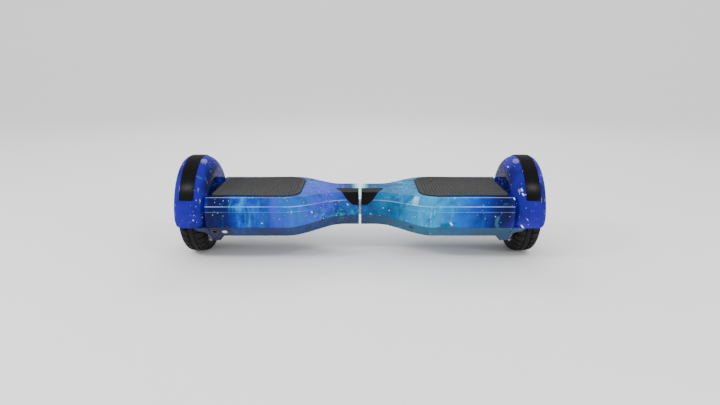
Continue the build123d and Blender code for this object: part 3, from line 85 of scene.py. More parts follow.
# ---------------------------------------------------------------- shader maths
class Sock:
    """A node socket that takes part in arithmetic; each operation adds its Math node."""

    def __init__(self, book: "NodeBook", socket: bpy.types.NodeSocket) -> None:
        """Wraps an output socket of a book's node."""
        self.book = book
        self.socket = socket

    def _math(self, operation: str, *values: Number) -> "Sock":
        """Adds a Math node over the given values."""
        settings = {"operation": operation}
        return self.book.node("ShaderNodeMath", settings, dict(enumerate(values)))

    def __add__(self, other: Number) -> "Sock":
        """Sum."""
        return self._math("ADD", self, other)

    __radd__ = __add__

    def __sub__(self, other: Number) -> "Sock":
        """Difference."""
        return self._math("SUBTRACT", self, other)

    def __rsub__(self, other: Number) -> "Sock":
        """Difference from a number."""
        return self._math("SUBTRACT", other, self)

    def __mul__(self, other: Number) -> "Sock":
        """Product."""
        return self._math("MULTIPLY", self, other)

    __rmul__ = __mul__

    def __truediv__(self, other: Number) -> "Sock":
        """Quotient."""
        return self._math("DIVIDE", self, other)

    def __abs__(self) -> "Sock":
        """Absolute value."""
        return self._math("ABSOLUTE", self)

    def root(self) -> "Sock":
        """Square root."""
        return self._math("SQRT", self)

    def clamped(self) -> "Sock":
        """The value held between 0 and 1."""
        return self._math("MINIMUM", self._math("MAXIMUM", self, 0.0), 1.0)

    def step(self, low: float, high: float) -> "Sock":
        """Smooth rise from 0 at low to 1 at high, or a fall where low is above high.

        Args:
            low: value at which the result is 0.
            high: value at which the result is 1.

        Returns:
            The eased value.
        """
        start, end, first, last = (low, high, 0.0, 1.0) if low < high else (high, low, 1.0, 0.0)
        inputs = {"Value": self, "From Min": start, "From Max": end, "To Min": first, "To Max": last}
        return self.book.node("ShaderNodeMapRange", {"interpolation_type": "SMOOTHSTEP"}, inputs)

    def hump(self, centre: float, width: float) -> "Sock":
        """Smooth bump that is 1 at the centre and 0 a width away from it."""
        return abs(self - centre).step(width, 0.0)


class NodeBook:
    """One material and the nodes that are written into it."""

    def __init__(self, name: str) -> None:
        """Starts an empty material of that name."""
        self.material = bpy.data.materials.new(name)
        self.material.use_nodes = True
        self.tree = self.material.node_tree
        self.tree.nodes.clear()

    def node(self, kind: str, settings: dict[str, Any] | None = None,
             inputs: dict[Any, Any] | None = None, output: Any = 0) -> Sock:
        """Adds a node.

        Args:
            kind: Blender's name of the node type.
            settings: attributes set first; "stops" holds a colour ramp's stops.
            inputs: values or links by socket name or place.
            output: name or place of the socket that is handed back.

        Returns:
            The chosen output socket.
        """
        made = self.tree.nodes.new(kind)
        for key, value in (settings or {}).items():
            if key == "stops":
                self._set_stops(made.color_ramp, value)
            else:
                setattr(made, key, value)
        for key, value in (inputs or {}).items():
            self._feed(made.inputs[key], value)
        return Sock(self, made.outputs[output])

    @staticmethod
    def _set_stops(ramp: bpy.types.ColorRamp, stops: Sequence[tuple[float, Colour]]) -> None:
        """Gives a colour ramp its stops."""
        while len(ramp.elements) < len(stops):
            ramp.elements.new(0.5)
        for element, (place, colour) in zip(ramp.elements, stops):
            element.position = place
            element.color = colour

    def _feed(self, socket: bpy.types.NodeSocket, value: Any) -> None:
        """Links or sets one input socket."""
        if isinstance(value, Sock):
            self.tree.links.new(value.socket, socket)
        elif socket.type == "RGBA" and not isinstance(value, (tuple, list)):
            socket.default_value = grey(value)
        else:
            socket.default_value = value

    def place(self) -> Sock:
        """Object coordinates, in metres."""
        return self.node("ShaderNodeTexCoord", output="Object")

    def axes(self) -> tuple[Sock, Sock, Sock]:
        """X, Y and Z of the object coordinates."""
        made = self.node("ShaderNodeSeparateXYZ", inputs={0: self.place()})
        outputs = made.socket.node.outputs
        return Sock(self, outputs[0]), Sock(self, outputs[1]), Sock(self, outputs[2])

    def stretched(self, scale: Vector, turn: Vector = Vector((0, 0, 0))) -> Sock:
        """Object coordinates scaled and turned for a pattern with a grain."""
        inputs = {"Vector": self.place(), "Scale": scale, "Rotation": turn}
        return self.node("ShaderNodeMapping", inputs=inputs)

    def noise(self, scale: float, detail: float = 3.0, roughness: float = 0.5, distortion: float = 0.0,
              vector: Sock | None = None) -> Sock:
        """Soft noise value over the object.

        Args:
            scale: size of the pattern, larger is finer.
            detail: number of finer layers.
            roughness: weight of the finer layers.
            distortion: how far the pattern is swirled.
            vector: place read by the pattern, the object coordinates if none is given.

        Returns:
            The noise, mostly near 0.5.
        """
        inputs = {"Vector": vector or self.place(), "Scale": scale, "Detail": detail, "Roughness": roughness,
                  "Distortion": distortion}
        return self.node("ShaderNodeTexNoise", {"noise_dimensions": "3D"}, inputs)

    def cells(self, scale: float, vector: Sock, feature: str = "F1") -> Sock:
        """Distance to the nearest point, or edge, of scattered cells."""
        return self.node("ShaderNodeTexVoronoi", {"feature": feature}, {"Vector": vector, "Scale": scale})

    def chance(self, cells: Sock) -> Sock:
        """Random value from 0 to 1 that belongs to each cell."""
        tint = Sock(self, cells.socket.node.outputs["Color"])
        return self.node("ShaderNodeSeparateColor", inputs={0: tint})

    def mix(self, factor: Number, first: Any, second: Any) -> Sock:
        """Mix of two colours."""
        settings = {"data_type": "RGBA", "blend_type": "MIX", "clamp_factor": True}
        return self.node("ShaderNodeMix", settings, {0: factor, 6: first, 7: second}, output=2)

    def ramp(self, value: Sock, stops: Sequence[tuple[float, Colour]]) -> Sock:
        """Colour ramp over a value."""
        return self.node("ShaderNodeValToRGB", {"stops": stops}, {"Fac": value})

    def bump(self, height: Sock, strength: float, distance: float) -> Sock:
        """Normal bent by a height."""
        inputs = {"Height": height, "Strength": strength, "Distance": distance}
        return self.node("ShaderNodeBump", inputs=inputs)

    def finish(self, **inputs: Any) -> bpy.types.Material:
        """Closes the material with its surface shader, whose inputs are given with underscores for spaces."""
        named = {key.replace("_", " "): value for key, value in inputs.items()}
        shader = self.node("ShaderNodeBsdfPrincipled", inputs=named)
        self.node_output(shader)
        return self.material

    def node_output(self, shader: Sock) -> None:
        """Adds the material output."""
        made = self.tree.nodes.new("ShaderNodeOutputMaterial")
        self.tree.links.new(shader.socket, made.inputs["Surface"])


# ---------------------------------------------------------------- finishes
@dataclass(frozen=True)
class StarLayer:
    """One size of scattered star: cells per metre, spot size and the share of cells left dark."""

    cells: float
    size: float
    dark_share: float


@dataclass(frozen=True)
class GalaxyPrint:
    """Glossy film print of a nebula with stars, its colours laid out along the board, with painted shade, a
    painted glow and painted highlights laid over the print.
    """

    name: str
    # painted shade: weight by which the print is darkened towards the painted shade colours, 0.78 on the
    # lower shell
    painted_shade: float = 0.0
    half_length: float = 0.32
    warp: float = 0.035
    stars: tuple[StarLayer, ...] = (StarLayer(52.25, 0.085, 0.72), StarLayer(95.0, 0.13, 0.72),
                                    StarLayer(218.5, 0.16, 0.55))
    comet_cell: Triple = (0.040, 0.022, 0.013)
    comet_turn: Triple = (0.0, 0.9, 0.0)
    crease_height: float = 0.1049
    band_height: float = 0.0958
    edge_height: float = 0.1192
    body_end: float = 0.2665
    night: Colour = (0.002, 0.005, 0.06, 1)
    streak_blue: Colour = (0.02, 0.46, 0.80, 1)
    wisp_blue: Colour = (0.16, 0.72, 0.95, 1)
    violet: Colour = (0.055, 0.035, 0.60, 1)
    teal: Colour = (0.01, 0.30, 0.25, 1)
    starlight: Colour = (0.86, 0.94, 1.0, 1)
    # painted glow colour for the top of the neck beside the gap
    painted_glow: Colour = (0.35, 0.95, 1.0, 1)
    gleam: Colour = (0.42, 0.55, 0.88, 1)
    # painted shade colours of the lower shell, dull violet on the left and dull teal on the right
    painted_shade_left: Colour = (0.026, 0.030, 0.064, 1)
    painted_shade_right: Colour = (0.036, 0.088, 0.130, 1)

    def print_and_shade_colours(self) -> list[tuple[float, Colour]]:
        """Print colours from the left wheel to the right wheel, with painted shade in the near-black stops
        where the deck meets the mudguards.
        """
        return [
            (0.00, (0.012, 0.008, 0.26, 1)),
            (0.08, (0.010, 0.006, 0.22, 1)),
            # painted shade: near-black band where the deck meets the left mudguard
            (0.095, (0.001, 0.002, 0.035, 1)),
            (0.135, (0.001, 0.004, 0.08, 1)),
            (0.165, (0.003, 0.040, 0.42, 1)),
            (0.24, (0.006, 0.075, 0.36, 1)),
            (0.33, (0.012, 0.095, 0.38, 1)),
            (0.39, (0.040, 0.060, 0.52, 1)),
            (0.45, (0.008, 0.050, 0.28, 1)),
            (0.52, (0.004, 0.055, 0.19, 1)),
            (0.61, (0.008, 0.155, 0.34, 1)),
            (0.71, (0.012, 0.240, 0.50, 1)),
            (0.79, (0.004, 0.080, 0.42, 1)),
            (0.85, (0.002, 0.022, 0.22, 1)),
            # painted shade: near-black band where the deck meets the right mudguard
            (0.88, (0.001, 0.004, 0.07, 1)),
            (0.905, (0.001, 0.002, 0.035, 1)),
            (0.93, (0.009, 0.005, 0.19, 1)),
            (1.00, (0.012, 0.008, 0.24, 1)),
        ]

    def material(self) -> bpy.types.Material:
        """Builds the film's material."""
        book = NodeBook(self.name)
        x, y, z = book.axes()
        colour = self._nebula(book, x)
        colour = self._drifts(book, colour, x, z)
        colour = book.mix(self._stars(book), colour, self.starlight)
        # Painted glow: bright cyan band along the top of the neck beside the gap between the halves.
        colour = book.mix(x.hump(0.0, 0.018) * z.step(0.108, 0.117) * 0.9, colour, self.painted_glow)
        colour = book.mix(self._light_lines(book, x, y, z), colour, self.gleam)
        # Painted shade: the lower shell wears a darker, duller copy of the upper shell's print.
        shade = book.mix(x.step(-0.05, 0.12), self.painted_shade_left, self.painted_shade_right)
        colour = book.mix(self.painted_shade, colour, shade)
        wear = book.noise(160.0, 2.0, 0.5)
        return book.finish(
            Base_Color=colour,
            Roughness=wear * 0.06 + 0.10,
            Specular_IOR_Level=0.0,
            Coat_Weight=0.22,
            Coat_Roughness=0.04,
        )

    def _nebula(self, book: NodeBook, x: Sock) -> Sock:
        """Ground colour along the board, warped by a swirl and darkened between the clouds, with painted
        shade beside the mudguards.

        Args:
            book: material that takes the nodes.
            x: place along the board.

        Returns:
            The ground colour.
        """
        swirl = book.noise(7.0, 5.0, 0.55, 0.6)
        along = (x + (swirl - 0.5) * self.warp * 2.0) / (2 * self.half_length) + 0.5
        colour = book.ramp(along, self.print_and_shade_colours())
        clouds = book.noise(16.0, 7.0, 0.62, 1.1)
        return book.mix(clouds.step(0.56, 0.30) * 0.75, colour, self.night)

    def _drifts(self, book: NodeBook, colour: Sock, x: Sock, z: Sock) -> Sock:
        """Adds bright streaks and wisps, violet clouds and the teal dust low in the middle.

        Args:
            book: material that takes the nodes.
            colour: ground colour.
            x: place along the board.
            z: height.

        Returns:
            The colour with its drifts.
        """
        haze = x.hump(0.125, 0.11) + x.hump(-0.205, 0.055) * 0.8 + x.hump(-0.10, 0.05) * 0.4
        grain = book.stretched(Vector((70, 45, 11)), Vector((0, 0.25, 0)))
        streaks = book.noise(1.0, 6.0, 0.6, 0.4, grain)
        colour = book.mix((streaks.step(0.50, 0.78) * haze).clamped() * 0.85, colour, self.streak_blue)
        grain = book.stretched(Vector((38, 60, 18)), Vector((0, -0.5, 0)))
        wisps = book.noise(1.0, 5.0, 0.65, 0.7, grain)
        colour = book.mix((wisps.step(0.60, 0.74) * (haze + 0.15)).clamped() * 0.8, colour, self.wisp_blue)
        places = x.hump(-0.11, 0.10) + x.hump(0.30, 0.09)
        bloom = book.noise(11.0, 3.0, 0.5, 0.3).step(0.50, 0.70) * places
        colour = book.mix(bloom.clamped() * 0.6, colour, self.violet)
        dust = book.noise(75.0, 6.0, 0.7, 0.9).step(0.48, 0.62) * x.hump(-0.040, 0.085) * z.step(0.102, 0.082)
        return book.mix(dust.clamped() * 0.9, colour, self.teal)

    def _light_lines(self, book: NodeBook, x: Sock, y: Sock, z: Sock) -> Sock:
        """Thin pale lines where the rounded creases of the casing catch the light.

        Args:
            book: material that takes the nodes.
            x: place along the board.
            y: place front to back.
            z: height.

        Returns:
            Mask of the lines.
        """
        gleam = book.noise(9.0, 3.0, 0.6).step(0.38, 0.62) * 0.7 + 0.3
        crease = z.hump(self.crease_height, 0.0009) * abs(y).step(0.030, 0.048)
        band = z.hump(self.band_height, 0.0008) * abs(y).step(0.060, 0.090) * 0.35
        edge = z.hump(self.edge_height, 0.0007) * abs(y).step(0.0825, 0.0838) * 0.6
        body = abs(x).step(self.body_end, self.body_end - 0.004)
        return ((crease + band + edge) * gleam * body).clamped() * 0.85

    def _stars(self, book: NodeBook) -> Sock:
        """Mask of scattered stars, most of them faint, and a few comets.

        Args:
            book: material that takes the nodes.

        Returns:
            The mask.
        """
        total: Number = 0.0
        for layer in self.stars:
            star = book.cells(layer.cells, book.place())
            lit = book.chance(star).step(layer.dark_share, 1.0)
            total = star.step(layer.size, layer.size * 0.35) * lit + total
        turned = {"Vector": book.place(), "Rotation": self.comet_turn, "Scale": self.comet_cell}
        comet = book.cells(1.0, book.node("ShaderNodeMapping", {"vector_type": "TEXTURE"}, turned))
        return (comet.step(0.14, 0.04) * book.chance(comet).step(0.60, 0.80) + total).clamped()


@dataclass(frozen=True)
class Plain:
    """Moulded, cast, painted or plated finish with fine mottling, uneven gloss and a fine bump."""

    name: str
    colour: Colour
    second: Colour
    roughness: float = 0.5
    spread: float = 0.12
    metallic: float = 0.0
    grain: float = 400.0
    mottle: float = 60.0
    relief: float = 0.15
    coat: float = 0.0
    specular: float = 0.4
    coat_roughness: float = 0.05

    def material(self) -> bpy.types.Material:
        """Builds the material."""
        book = NodeBook(self.name)
        blotch = book.noise(self.mottle, 4.0, 0.6, 0.3)
        fine = book.noise(self.grain, 3.0, 0.55)
        colour = book.mix(blotch.step(0.35, 0.68), self.colour, self.second)
        gloss = (blotch - 0.5) * self.spread * 2.0 + (fine - 0.5) * self.spread + self.roughness
        return book.finish(
            Base_Color=colour,
            Roughness=gloss.clamped(),
            Metallic=self.metallic,
            Specular_IOR_Level=self.specular,
            Coat_Weight=self.coat,
            Coat_Roughness=self.coat_roughness,
            Normal=book.bump(fine, self.relief, 0.0004),
        )


@dataclass(frozen=True)
class Brushed:
    """Turned or ground metal, its fine lines running round the axle."""

    name: str
    colour: Colour
    roughness: float = 0.28
    axle_height: float = 0.0825
    lines_along: float = 900.0
    lines_out: float = 2400.0
    stain_depth: float = 0.72

    def material(self) -> bpy.types.Material:
        """Builds the material."""
        book = NodeBook(self.name)
        x, y, z = book.axes()
        height = z - self.axle_height
        radius = (y * y + height * height).root()
        ring = book.node("ShaderNodeCombineXYZ", inputs={0: x * self.lines_along, 1: radius * self.lines_out})
        lines = book.noise(1.0, 2.0, 0.5, 0.0, ring)
        stain = book.noise(45.0, 4.0, 0.6, 0.2)
        dark = tuple(part * self.stain_depth for part in self.colour[:3]) + (1.0,)
        return book.finish(
            Base_Color=book.mix(stain.step(0.4, 0.75) * 0.6, self.colour, dark),
            Roughness=((lines - 0.5) * 0.16 + (stain - 0.5) * 0.14 + self.roughness).clamped(),
            Metallic=1.0,
            Normal=book.bump(lines, 0.08, 0.0002),
        )


@dataclass(frozen=True)
class Circuit:
    """Solder mask with copper tracks showing through it."""

    name: str
    mask: Colour = (0.012, 0.11, 0.04, 1.0)
    track: Colour = (0.03, 0.20, 0.07, 1.0)
    lane_cells: float = 140.0

    def material(self) -> bpy.types.Material:
        """Builds the material."""
        book = NodeBook(self.name)
        lanes = book.cells(self.lane_cells, book.place(), "DISTANCE_TO_EDGE").step(0.12, 0.05)
        return book.finish(
            Base_Color=book.mix(lanes, self.mask, self.track),
            Roughness=book.noise(200.0).step(0.2, 0.9) * 0.2 + 0.25,
            Normal=book.bump(lanes, 0.2, 0.0002),
        )


FINISHES: dict[str, Any] = {
    "shell_upper": GalaxyPrint("print_upper"),
    # the lower shell's copy of the print is darkened by painted shade
    "shell_lower": GalaxyPrint("print_lower", painted_shade=0.78),
    "pad_rubber": Plain("pad_rubber", (0.033, 0.033, 0.034, 1), (0.027, 0.027, 0.028, 1),
                        roughness=0.72, spread=0.10, relief=0.35, specular=0.08, mottle=240.0),
    "black_gloss": Plain("black_gloss", (0.0010, 0.0010, 0.0012, 1), (0.002, 0.002, 0.0024, 1),
                         roughness=0.12, spread=0.04, relief=0.01, specular=0.0,
                         coat=0.20, coat_roughness=0.26),
    "black_plastic": Plain("black_plastic", (0.010, 0.010, 0.011, 1), (0.017, 0.017, 0.018, 1),
                           roughness=0.42, spread=0.10),
    "button_plastic": Plain("button_plastic", (0.42, 0.50, 0.62, 1), (0.52, 0.60, 0.70, 1),
                            roughness=0.25, spread=0.06, relief=0.05),
    "tyre_rubber": Plain("tyre_rubber", (0.007, 0.007, 0.008, 1), (0.012, 0.011, 0.011, 1),
                         roughness=0.76, spread=0.12, relief=0.4, specular=0.15),
    "hub_paint": Plain("hub_paint", (0.022, 0.023, 0.026, 1), (0.030, 0.031, 0.034, 1),
                       roughness=0.36, spread=0.10, relief=0.2, coat=0.3),
    "rim_metal": Brushed("rim_metal", (0.56, 0.57, 0.59, 1), roughness=0.30),
    "cast_aluminium": Plain("cast_aluminium", (0.50, 0.51, 0.53, 1), (0.38, 0.39, 0.41, 1),
                            roughness=0.52, spread=0.16, metallic=1.0, grain=900.0, relief=0.5),
    "steel": Brushed("steel", (0.50, 0.51, 0.53, 1), roughness=0.24),
    "dark_steel": Plain("dark_steel", (0.05, 0.05, 0.055, 1), (0.08, 0.075, 0.07, 1),
                        roughness=0.42, metallic=1.0),
    "laminations": Brushed("laminations", (0.26, 0.26, 0.28, 1), roughness=0.45),
    "copper": Plain("copper", (0.66, 0.23, 0.08, 1), (0.50, 0.15, 0.05, 1),
                    roughness=0.32, metallic=1.0, grain=1500.0, relief=0.6),
    "magnet_nickel": Brushed("magnet_nickel", (0.62, 0.60, 0.57, 1), roughness=0.2),
    "bush_nylon": Plain("bush_nylon", (0.74, 0.72, 0.66, 1), (0.64, 0.62, 0.56, 1),
                        roughness=0.48, spread=0.10),
    "circuit_board": Circuit("circuit_board"),
    "cable_jacket": Plain("cable_jacket", (0.014, 0.014, 0.015, 1), (0.022, 0.022, 0.023, 1),
                          roughness=0.55),
    "battery_wrap": Plain("battery_wrap", (0.02, 0.07, 0.34, 1), (0.015, 0.05, 0.26, 1),
                          roughness=0.22, spread=0.08, grain=120.0, relief=0.5, coat=0.4),
}


class Wardrobe:
    """Makes each finish once and hands it to pieces and CAD nodes."""

    def __init__(self) -> None:
        """Starts with no material made."""
        self._made: dict[str, bpy.types.Material] = {}

    def get(self, slot: str) -> bpy.types.Material:
        """Material of a slot, made when first asked for."""
        if slot not in self._made:
            self._made[slot] = FINISHES[slot].material()
        return self._made[slot]

    def dress(self, piece: bpy.types.Object, slot: str) -> None:
        """Gives a piece one finish all over."""
        piece.data.materials.clear()
        piece.data.materials.append(self.get(slot))

    def dress_node(self, name: str, slot: str) -> None:
        """Gives a carried-over CAD node its finish."""
        node = frame["nodes"][name]
        if not node.data.materials:
            node.data.materials.append(self.get(slot))
        for place in node.material_slots:
            place.material = self.get(slot)


# ---------------------------------------------------------------- mesh helpers
def object_from(bm: bmesh.types.BMesh, name: str, smooth_angle: float = 35.0) -> bpy.types.Object:
    """Turns a bmesh into a linked object whose sharp edges stay crisp.

    Args:
        bm: finished mesh, freed here.
        name: name of the piece.
        smooth_angle: faces that meet at less than this angle, in degrees, shade smooth.

    Returns:
        The new object, at the origin.
    """
    bmesh.ops.remove_doubles(bm, verts=bm.verts, dist=MERGE)
    bmesh.ops.recalc_face_normals(bm, faces=bm.faces)
    limit = math.radians(smooth_angle)
    for edge in bm.edges:
        edge.smooth = not edge.is_manifold or edge.calc_face_angle(0.0) < limit
    for face in bm.faces:
        face.smooth = True
    mesh = bpy.data.meshes.new(name)
    bm.to_mesh(mesh)
    bm.free()
    piece = bpy.data.objects.new(name, mesh)
    bpy.context.scene.collection.objects.link(piece)
    return piece


def lathe(profile: Sequence[tuple[float, float]], centre: Vector, steps: int) -> bmesh.types.BMesh:
    """Spins a profile round an axle along X.

    Args:
        profile: points as distance along the axle and radius; open where it starts and ends on the axle.
        centre: middle of the axle's stretch.
        steps: number of segments in the full turn.

    Returns:
        The spun mesh with its profile along X.
    """
    bm = bmesh.new()
    verts = [bm.verts.new(centre + Vector((x, 0.0, radius))) for x, radius in profile]
    edges = [bm.edges.new(pair) for pair in zip(verts, verts[1:])]
    bmesh.ops.spin(bm, geom=verts + edges, cent=centre, axis=(1, 0, 0), angle=math.tau, steps=steps,
                   use_merge=True)
    bmesh.ops.remove_doubles(bm, verts=bm.verts, dist=MERGE)
    return bm


def corners_of(node: str) -> tuple[Vector, Vector]:
    """Lowest and highest corner of a CAD node at rest."""
    low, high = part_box(node)
    return Vector(low), Vector(high)


def lifted(made: dict[str, Any]) -> list[bmesh.types.BMVert]:
    """New vertices of an extrusion."""
    return [item for item in made["geom"] if isinstance(item, bmesh.types.BMVert)]


def turn_step(offset: Vector, steps: int) -> int:
    """Number of the segment of a full turn about X in which a point lies."""
    return int((math.atan2(offset.z, offset.y) / math.tau) % 1.0 * steps)


def hand_over(piece: bpy.types.Object, body: str, node: str, slot: str, wardrobe: Wardrobe) -> None:
    """Lets a piece ride on its body in place of a CAD node, and gives it its finish.

    Args:
        piece: finished piece.
        body: body that it rides on.
        node: CAD node that it stands for.
        slot: material slot of its finish.
        wardrobe: maker of the finishes.
    """
    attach(piece, body)
    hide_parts(node)
    wardrobe.dress(piece, slot)


def arc(centre: tuple[float, float], radius: float, start: float, end: float,
        steps: int) -> list[tuple[float, float]]:
    """Points of an arc in a profile, angles in degrees from the axle's direction.

    Args:
        centre: middle of the arc.
        radius: its radius.
        start: first angle.
        end: last angle.
        steps: number of segments.

    Returns:
        The points from start to end.
    """
    turns = [math.radians(start + (end - start) * i / steps) for i in range(steps + 1)]
    return [(centre[0] + radius * math.cos(t), centre[1] + radius * math.sin(t)) for t in turns]


def soften(piece: bpy.types.Object, width: float, segments: int = 2, angle: float = 30.0) -> None:
    """Bevels the sharp edges of a piece.

    Args:
        piece: piece to soften.
        width: width of the bevel.
        segments: number of segments.
        angle: edges sharper than this, in degrees, are bevelled.
    """
    bevel = piece.modifiers.new("edge_round", "BEVEL")
    bevel.width = width
    bevel.segments = segments
    bevel.limit_method = "ANGLE"
    bevel.angle_limit = math.radians(angle)
    bevel.harden_normals = True


# ---------------------------------------------------------------- sub-assemblies
@dataclass
class Wheel:
    """Tyre with its tread and the outer cover of the hub motor."""

    side: Side
    wardrobe: Wardrobe
    steps: int = 144
    groove_every: int = 4
    groove_depth: float = 2.6 * MM
    tread_line: float = 5.0 * MM
    line_width: float = 1.8 * MM
    line_taper: float = 0.6
    shoulder: float = 13.0 * MM
    shoulder_steps: int = 9
    bead_inset: float = 1.5 * MM
    bead_width: float = 4.5 * MM
    bead_depth: float = 2.4 * MM
    cover_steps: int = 96
    cover_thickness: float = 2.5 * MM
    cover_edge: float = 0.8 * MM
    dish_depth: float = 1.4 * MM
    cap_groove: float = 0.6 * MM
    cap_height: float = 0.3 * MM
    rib_height: float = 1.2 * MM
    rib_spacing: int = 16
    rib_steps: int = 2
    low: Vector = field(init=False)
    high: Vector = field(init=False)

    def __post_init__(self) -> None:
        """Reads the tyre's size from the frame."""
        self.low, self.high = corners_of(self.side.node("tyre"))

    @property
    def centre(self) -> Vector:
        """Middle of the wheel."""
        return (self.low + self.high) / 2

    @property
    def radius(self) -> float:
        """Outer radius of the tyre."""
        return (self.high.z - self.low.z) / 2

    def build(self) -> list[bpy.types.Object]:
        """Builds the tyre and the hub cover."""
        return [self.tyre(), self.hub_cover()]

    def tyre_profile(self) -> list[tuple[float, float]]:
        """Outline of the tyre from bead to bead, with two tread lines in the crown.

        Returns:
            Points as distance along the axle and radius.
        """
        half = (self.high.x - self.low.x) / 2
        rim_low, rim_high = corners_of(self.side.node("rim"))
        bead = (rim_high.z - rim_low.z) / 2
        lip = half - self.bead_inset
        right = [(lip - self.bead_width, bead - self.bead_depth), (lip - self.bead_width, bead),
                 (lip, bead + 0.3 * MM), (half, bead + 2 * MM)]
        turn = (half - self.shoulder, self.radius - self.shoulder)
        right += arc(turn, self.shoulder, 0, 90, self.shoulder_steps)
        line = self.tread_line
        width = self.line_width / 2
        floor = self.radius - self.groove_depth
        crown = [(line + width, self.radius), (line + width * self.line_taper, floor),
                 (line - width * self.line_taper, floor), (line - width, self.radius)]
        points = right + crown
        return points + [(-x, radius) for x, radius in reversed(points)]

    def tyre(self) -> bpy.types.Object:
        """Solid tyre with cross grooves cut over both shoulders.

        Returns:
            The tyre, riding on its wheel.
        """
        bm = lathe(self.tyre_profile(), self.centre, self.steps)
        ring = [face for face in bm.faces if self._is_groove(face)]
        for vert in lifted(bmesh.ops.extrude_face_region(bm, geom=ring)):
            arm = Vector((0, vert.co.y - self.centre.y, vert.co.z - self.centre.z)).normalized()
            vert.co -= arm * self.groove_depth
        self._close_bore(bm)
        piece = object_from(bm, self.side.node("tread_tyre"), 40.0)
        hand_over(piece, self.side.node("wheel"), self.side.node("tyre"), "tyre_rubber", self.wardrobe)
        return piece

    def _is_groove(self, face: bmesh.types.BMFace) -> bool:
        """Whether a face belongs to a cross groove, staggered from side to side.

        Args:
            face: face of the spun tyre.

        Returns:
            True for a face that sinks.
        """
        middle = face.calc_center_median() - self.centre
        radius = math.hypot(middle.y, middle.z)
        beside_line = abs(middle.x) > self.tread_line + self.line_width
        on_tread = beside_line and radius > self.radius - self.shoulder * 0.72
        turn = turn_step(middle, self.steps) % self.groove_every
        return on_tread and turn == (0 if middle.x > 0 else self.groove_every // 2)

    @staticmethod
    def _close_bore(bm: bmesh.types.BMesh) -> None:
        """Bridges the two bead circles so that the tyre is a closed solid."""
        rims = [edge for edge in bm.edges if edge.is_boundary]
        bmesh.ops.bridge_loops(bm, edges=rims)

    def cover_profile(self, radius: float) -> list[tuple[float, float]]:
        """Section of the hub cover from its back to its cap, as distance outward and radius.

        Args:
            radius: outer radius of the cover.

        Returns:
            The points, from the axle round to the axle again.
        """
        edge = self.cover_edge
        dish = -self.dish_depth
        back = -self.cover_thickness
        cap = self.cap_height
        return [(back, 0.0), (back, radius), (-edge, radius), (0.0, radius - edge), (0.0, radius * 0.90),
                (dish, radius * 0.86), (dish, radius * 0.42), (0.0, radius * 0.38), (0.0, radius * 0.24),
                (-self.cap_groove, radius * 0.22), (0.0, radius * 0.20), (cap, radius * 0.06), (cap, 0.0)]

    def hub_cover(self) -> bpy.types.Object:
        """Dished outer cover with a raised rim, ribs and a centre cap.

        Returns:
            The cover, riding on its wheel.
        """
        low, high = corners_of(self.side.node("hub_cover"))
        face = high.x if self.side is Side.RIGHT else low.x
        radius = (high.z - low.z) / 2
        outward = [(x * self.side.sign, r) for x, r in self.cover_profile(radius)]
        bm = lathe(outward, Vector((face, self.centre.y, self.centre.z)), self.cover_steps)
        ribs = [f for f in bm.faces if self._is_rib(f, radius)]
        moved = lifted(bmesh.ops.extrude_face_region(bm, geom=ribs))
        bmesh.ops.translate(bm, verts=moved, vec=(self.rib_height * self.side.sign, 0, 0))
        piece = object_from(bm, self.side.node("wheel_cover"))
        soften(piece, 0.3 * MM)
        hand_over(piece, self.side.node("wheel"), self.side.node("hub_cover"), "hub_paint", self.wardrobe)
        return piece

    def _is_rib(self, face: bmesh.types.BMFace, radius: float) -> bool:
        """Whether a face of the dish belongs to one of its ribs.

        Args:
            face: face of the spun cover.
            radius: outer radius of the cover.

        Returns:
            True for a face that rises.
        """
        middle = face.calc_center_median() - self.centre
        in_dish = radius * 0.45 < math.hypot(middle.y, middle.z) < radius * 0.84
        facing = abs(face.normal.x) > 0.9
        return facing and in_dish and turn_step(middle, self.cover_steps) % self.rib_spacing < self.rib_steps


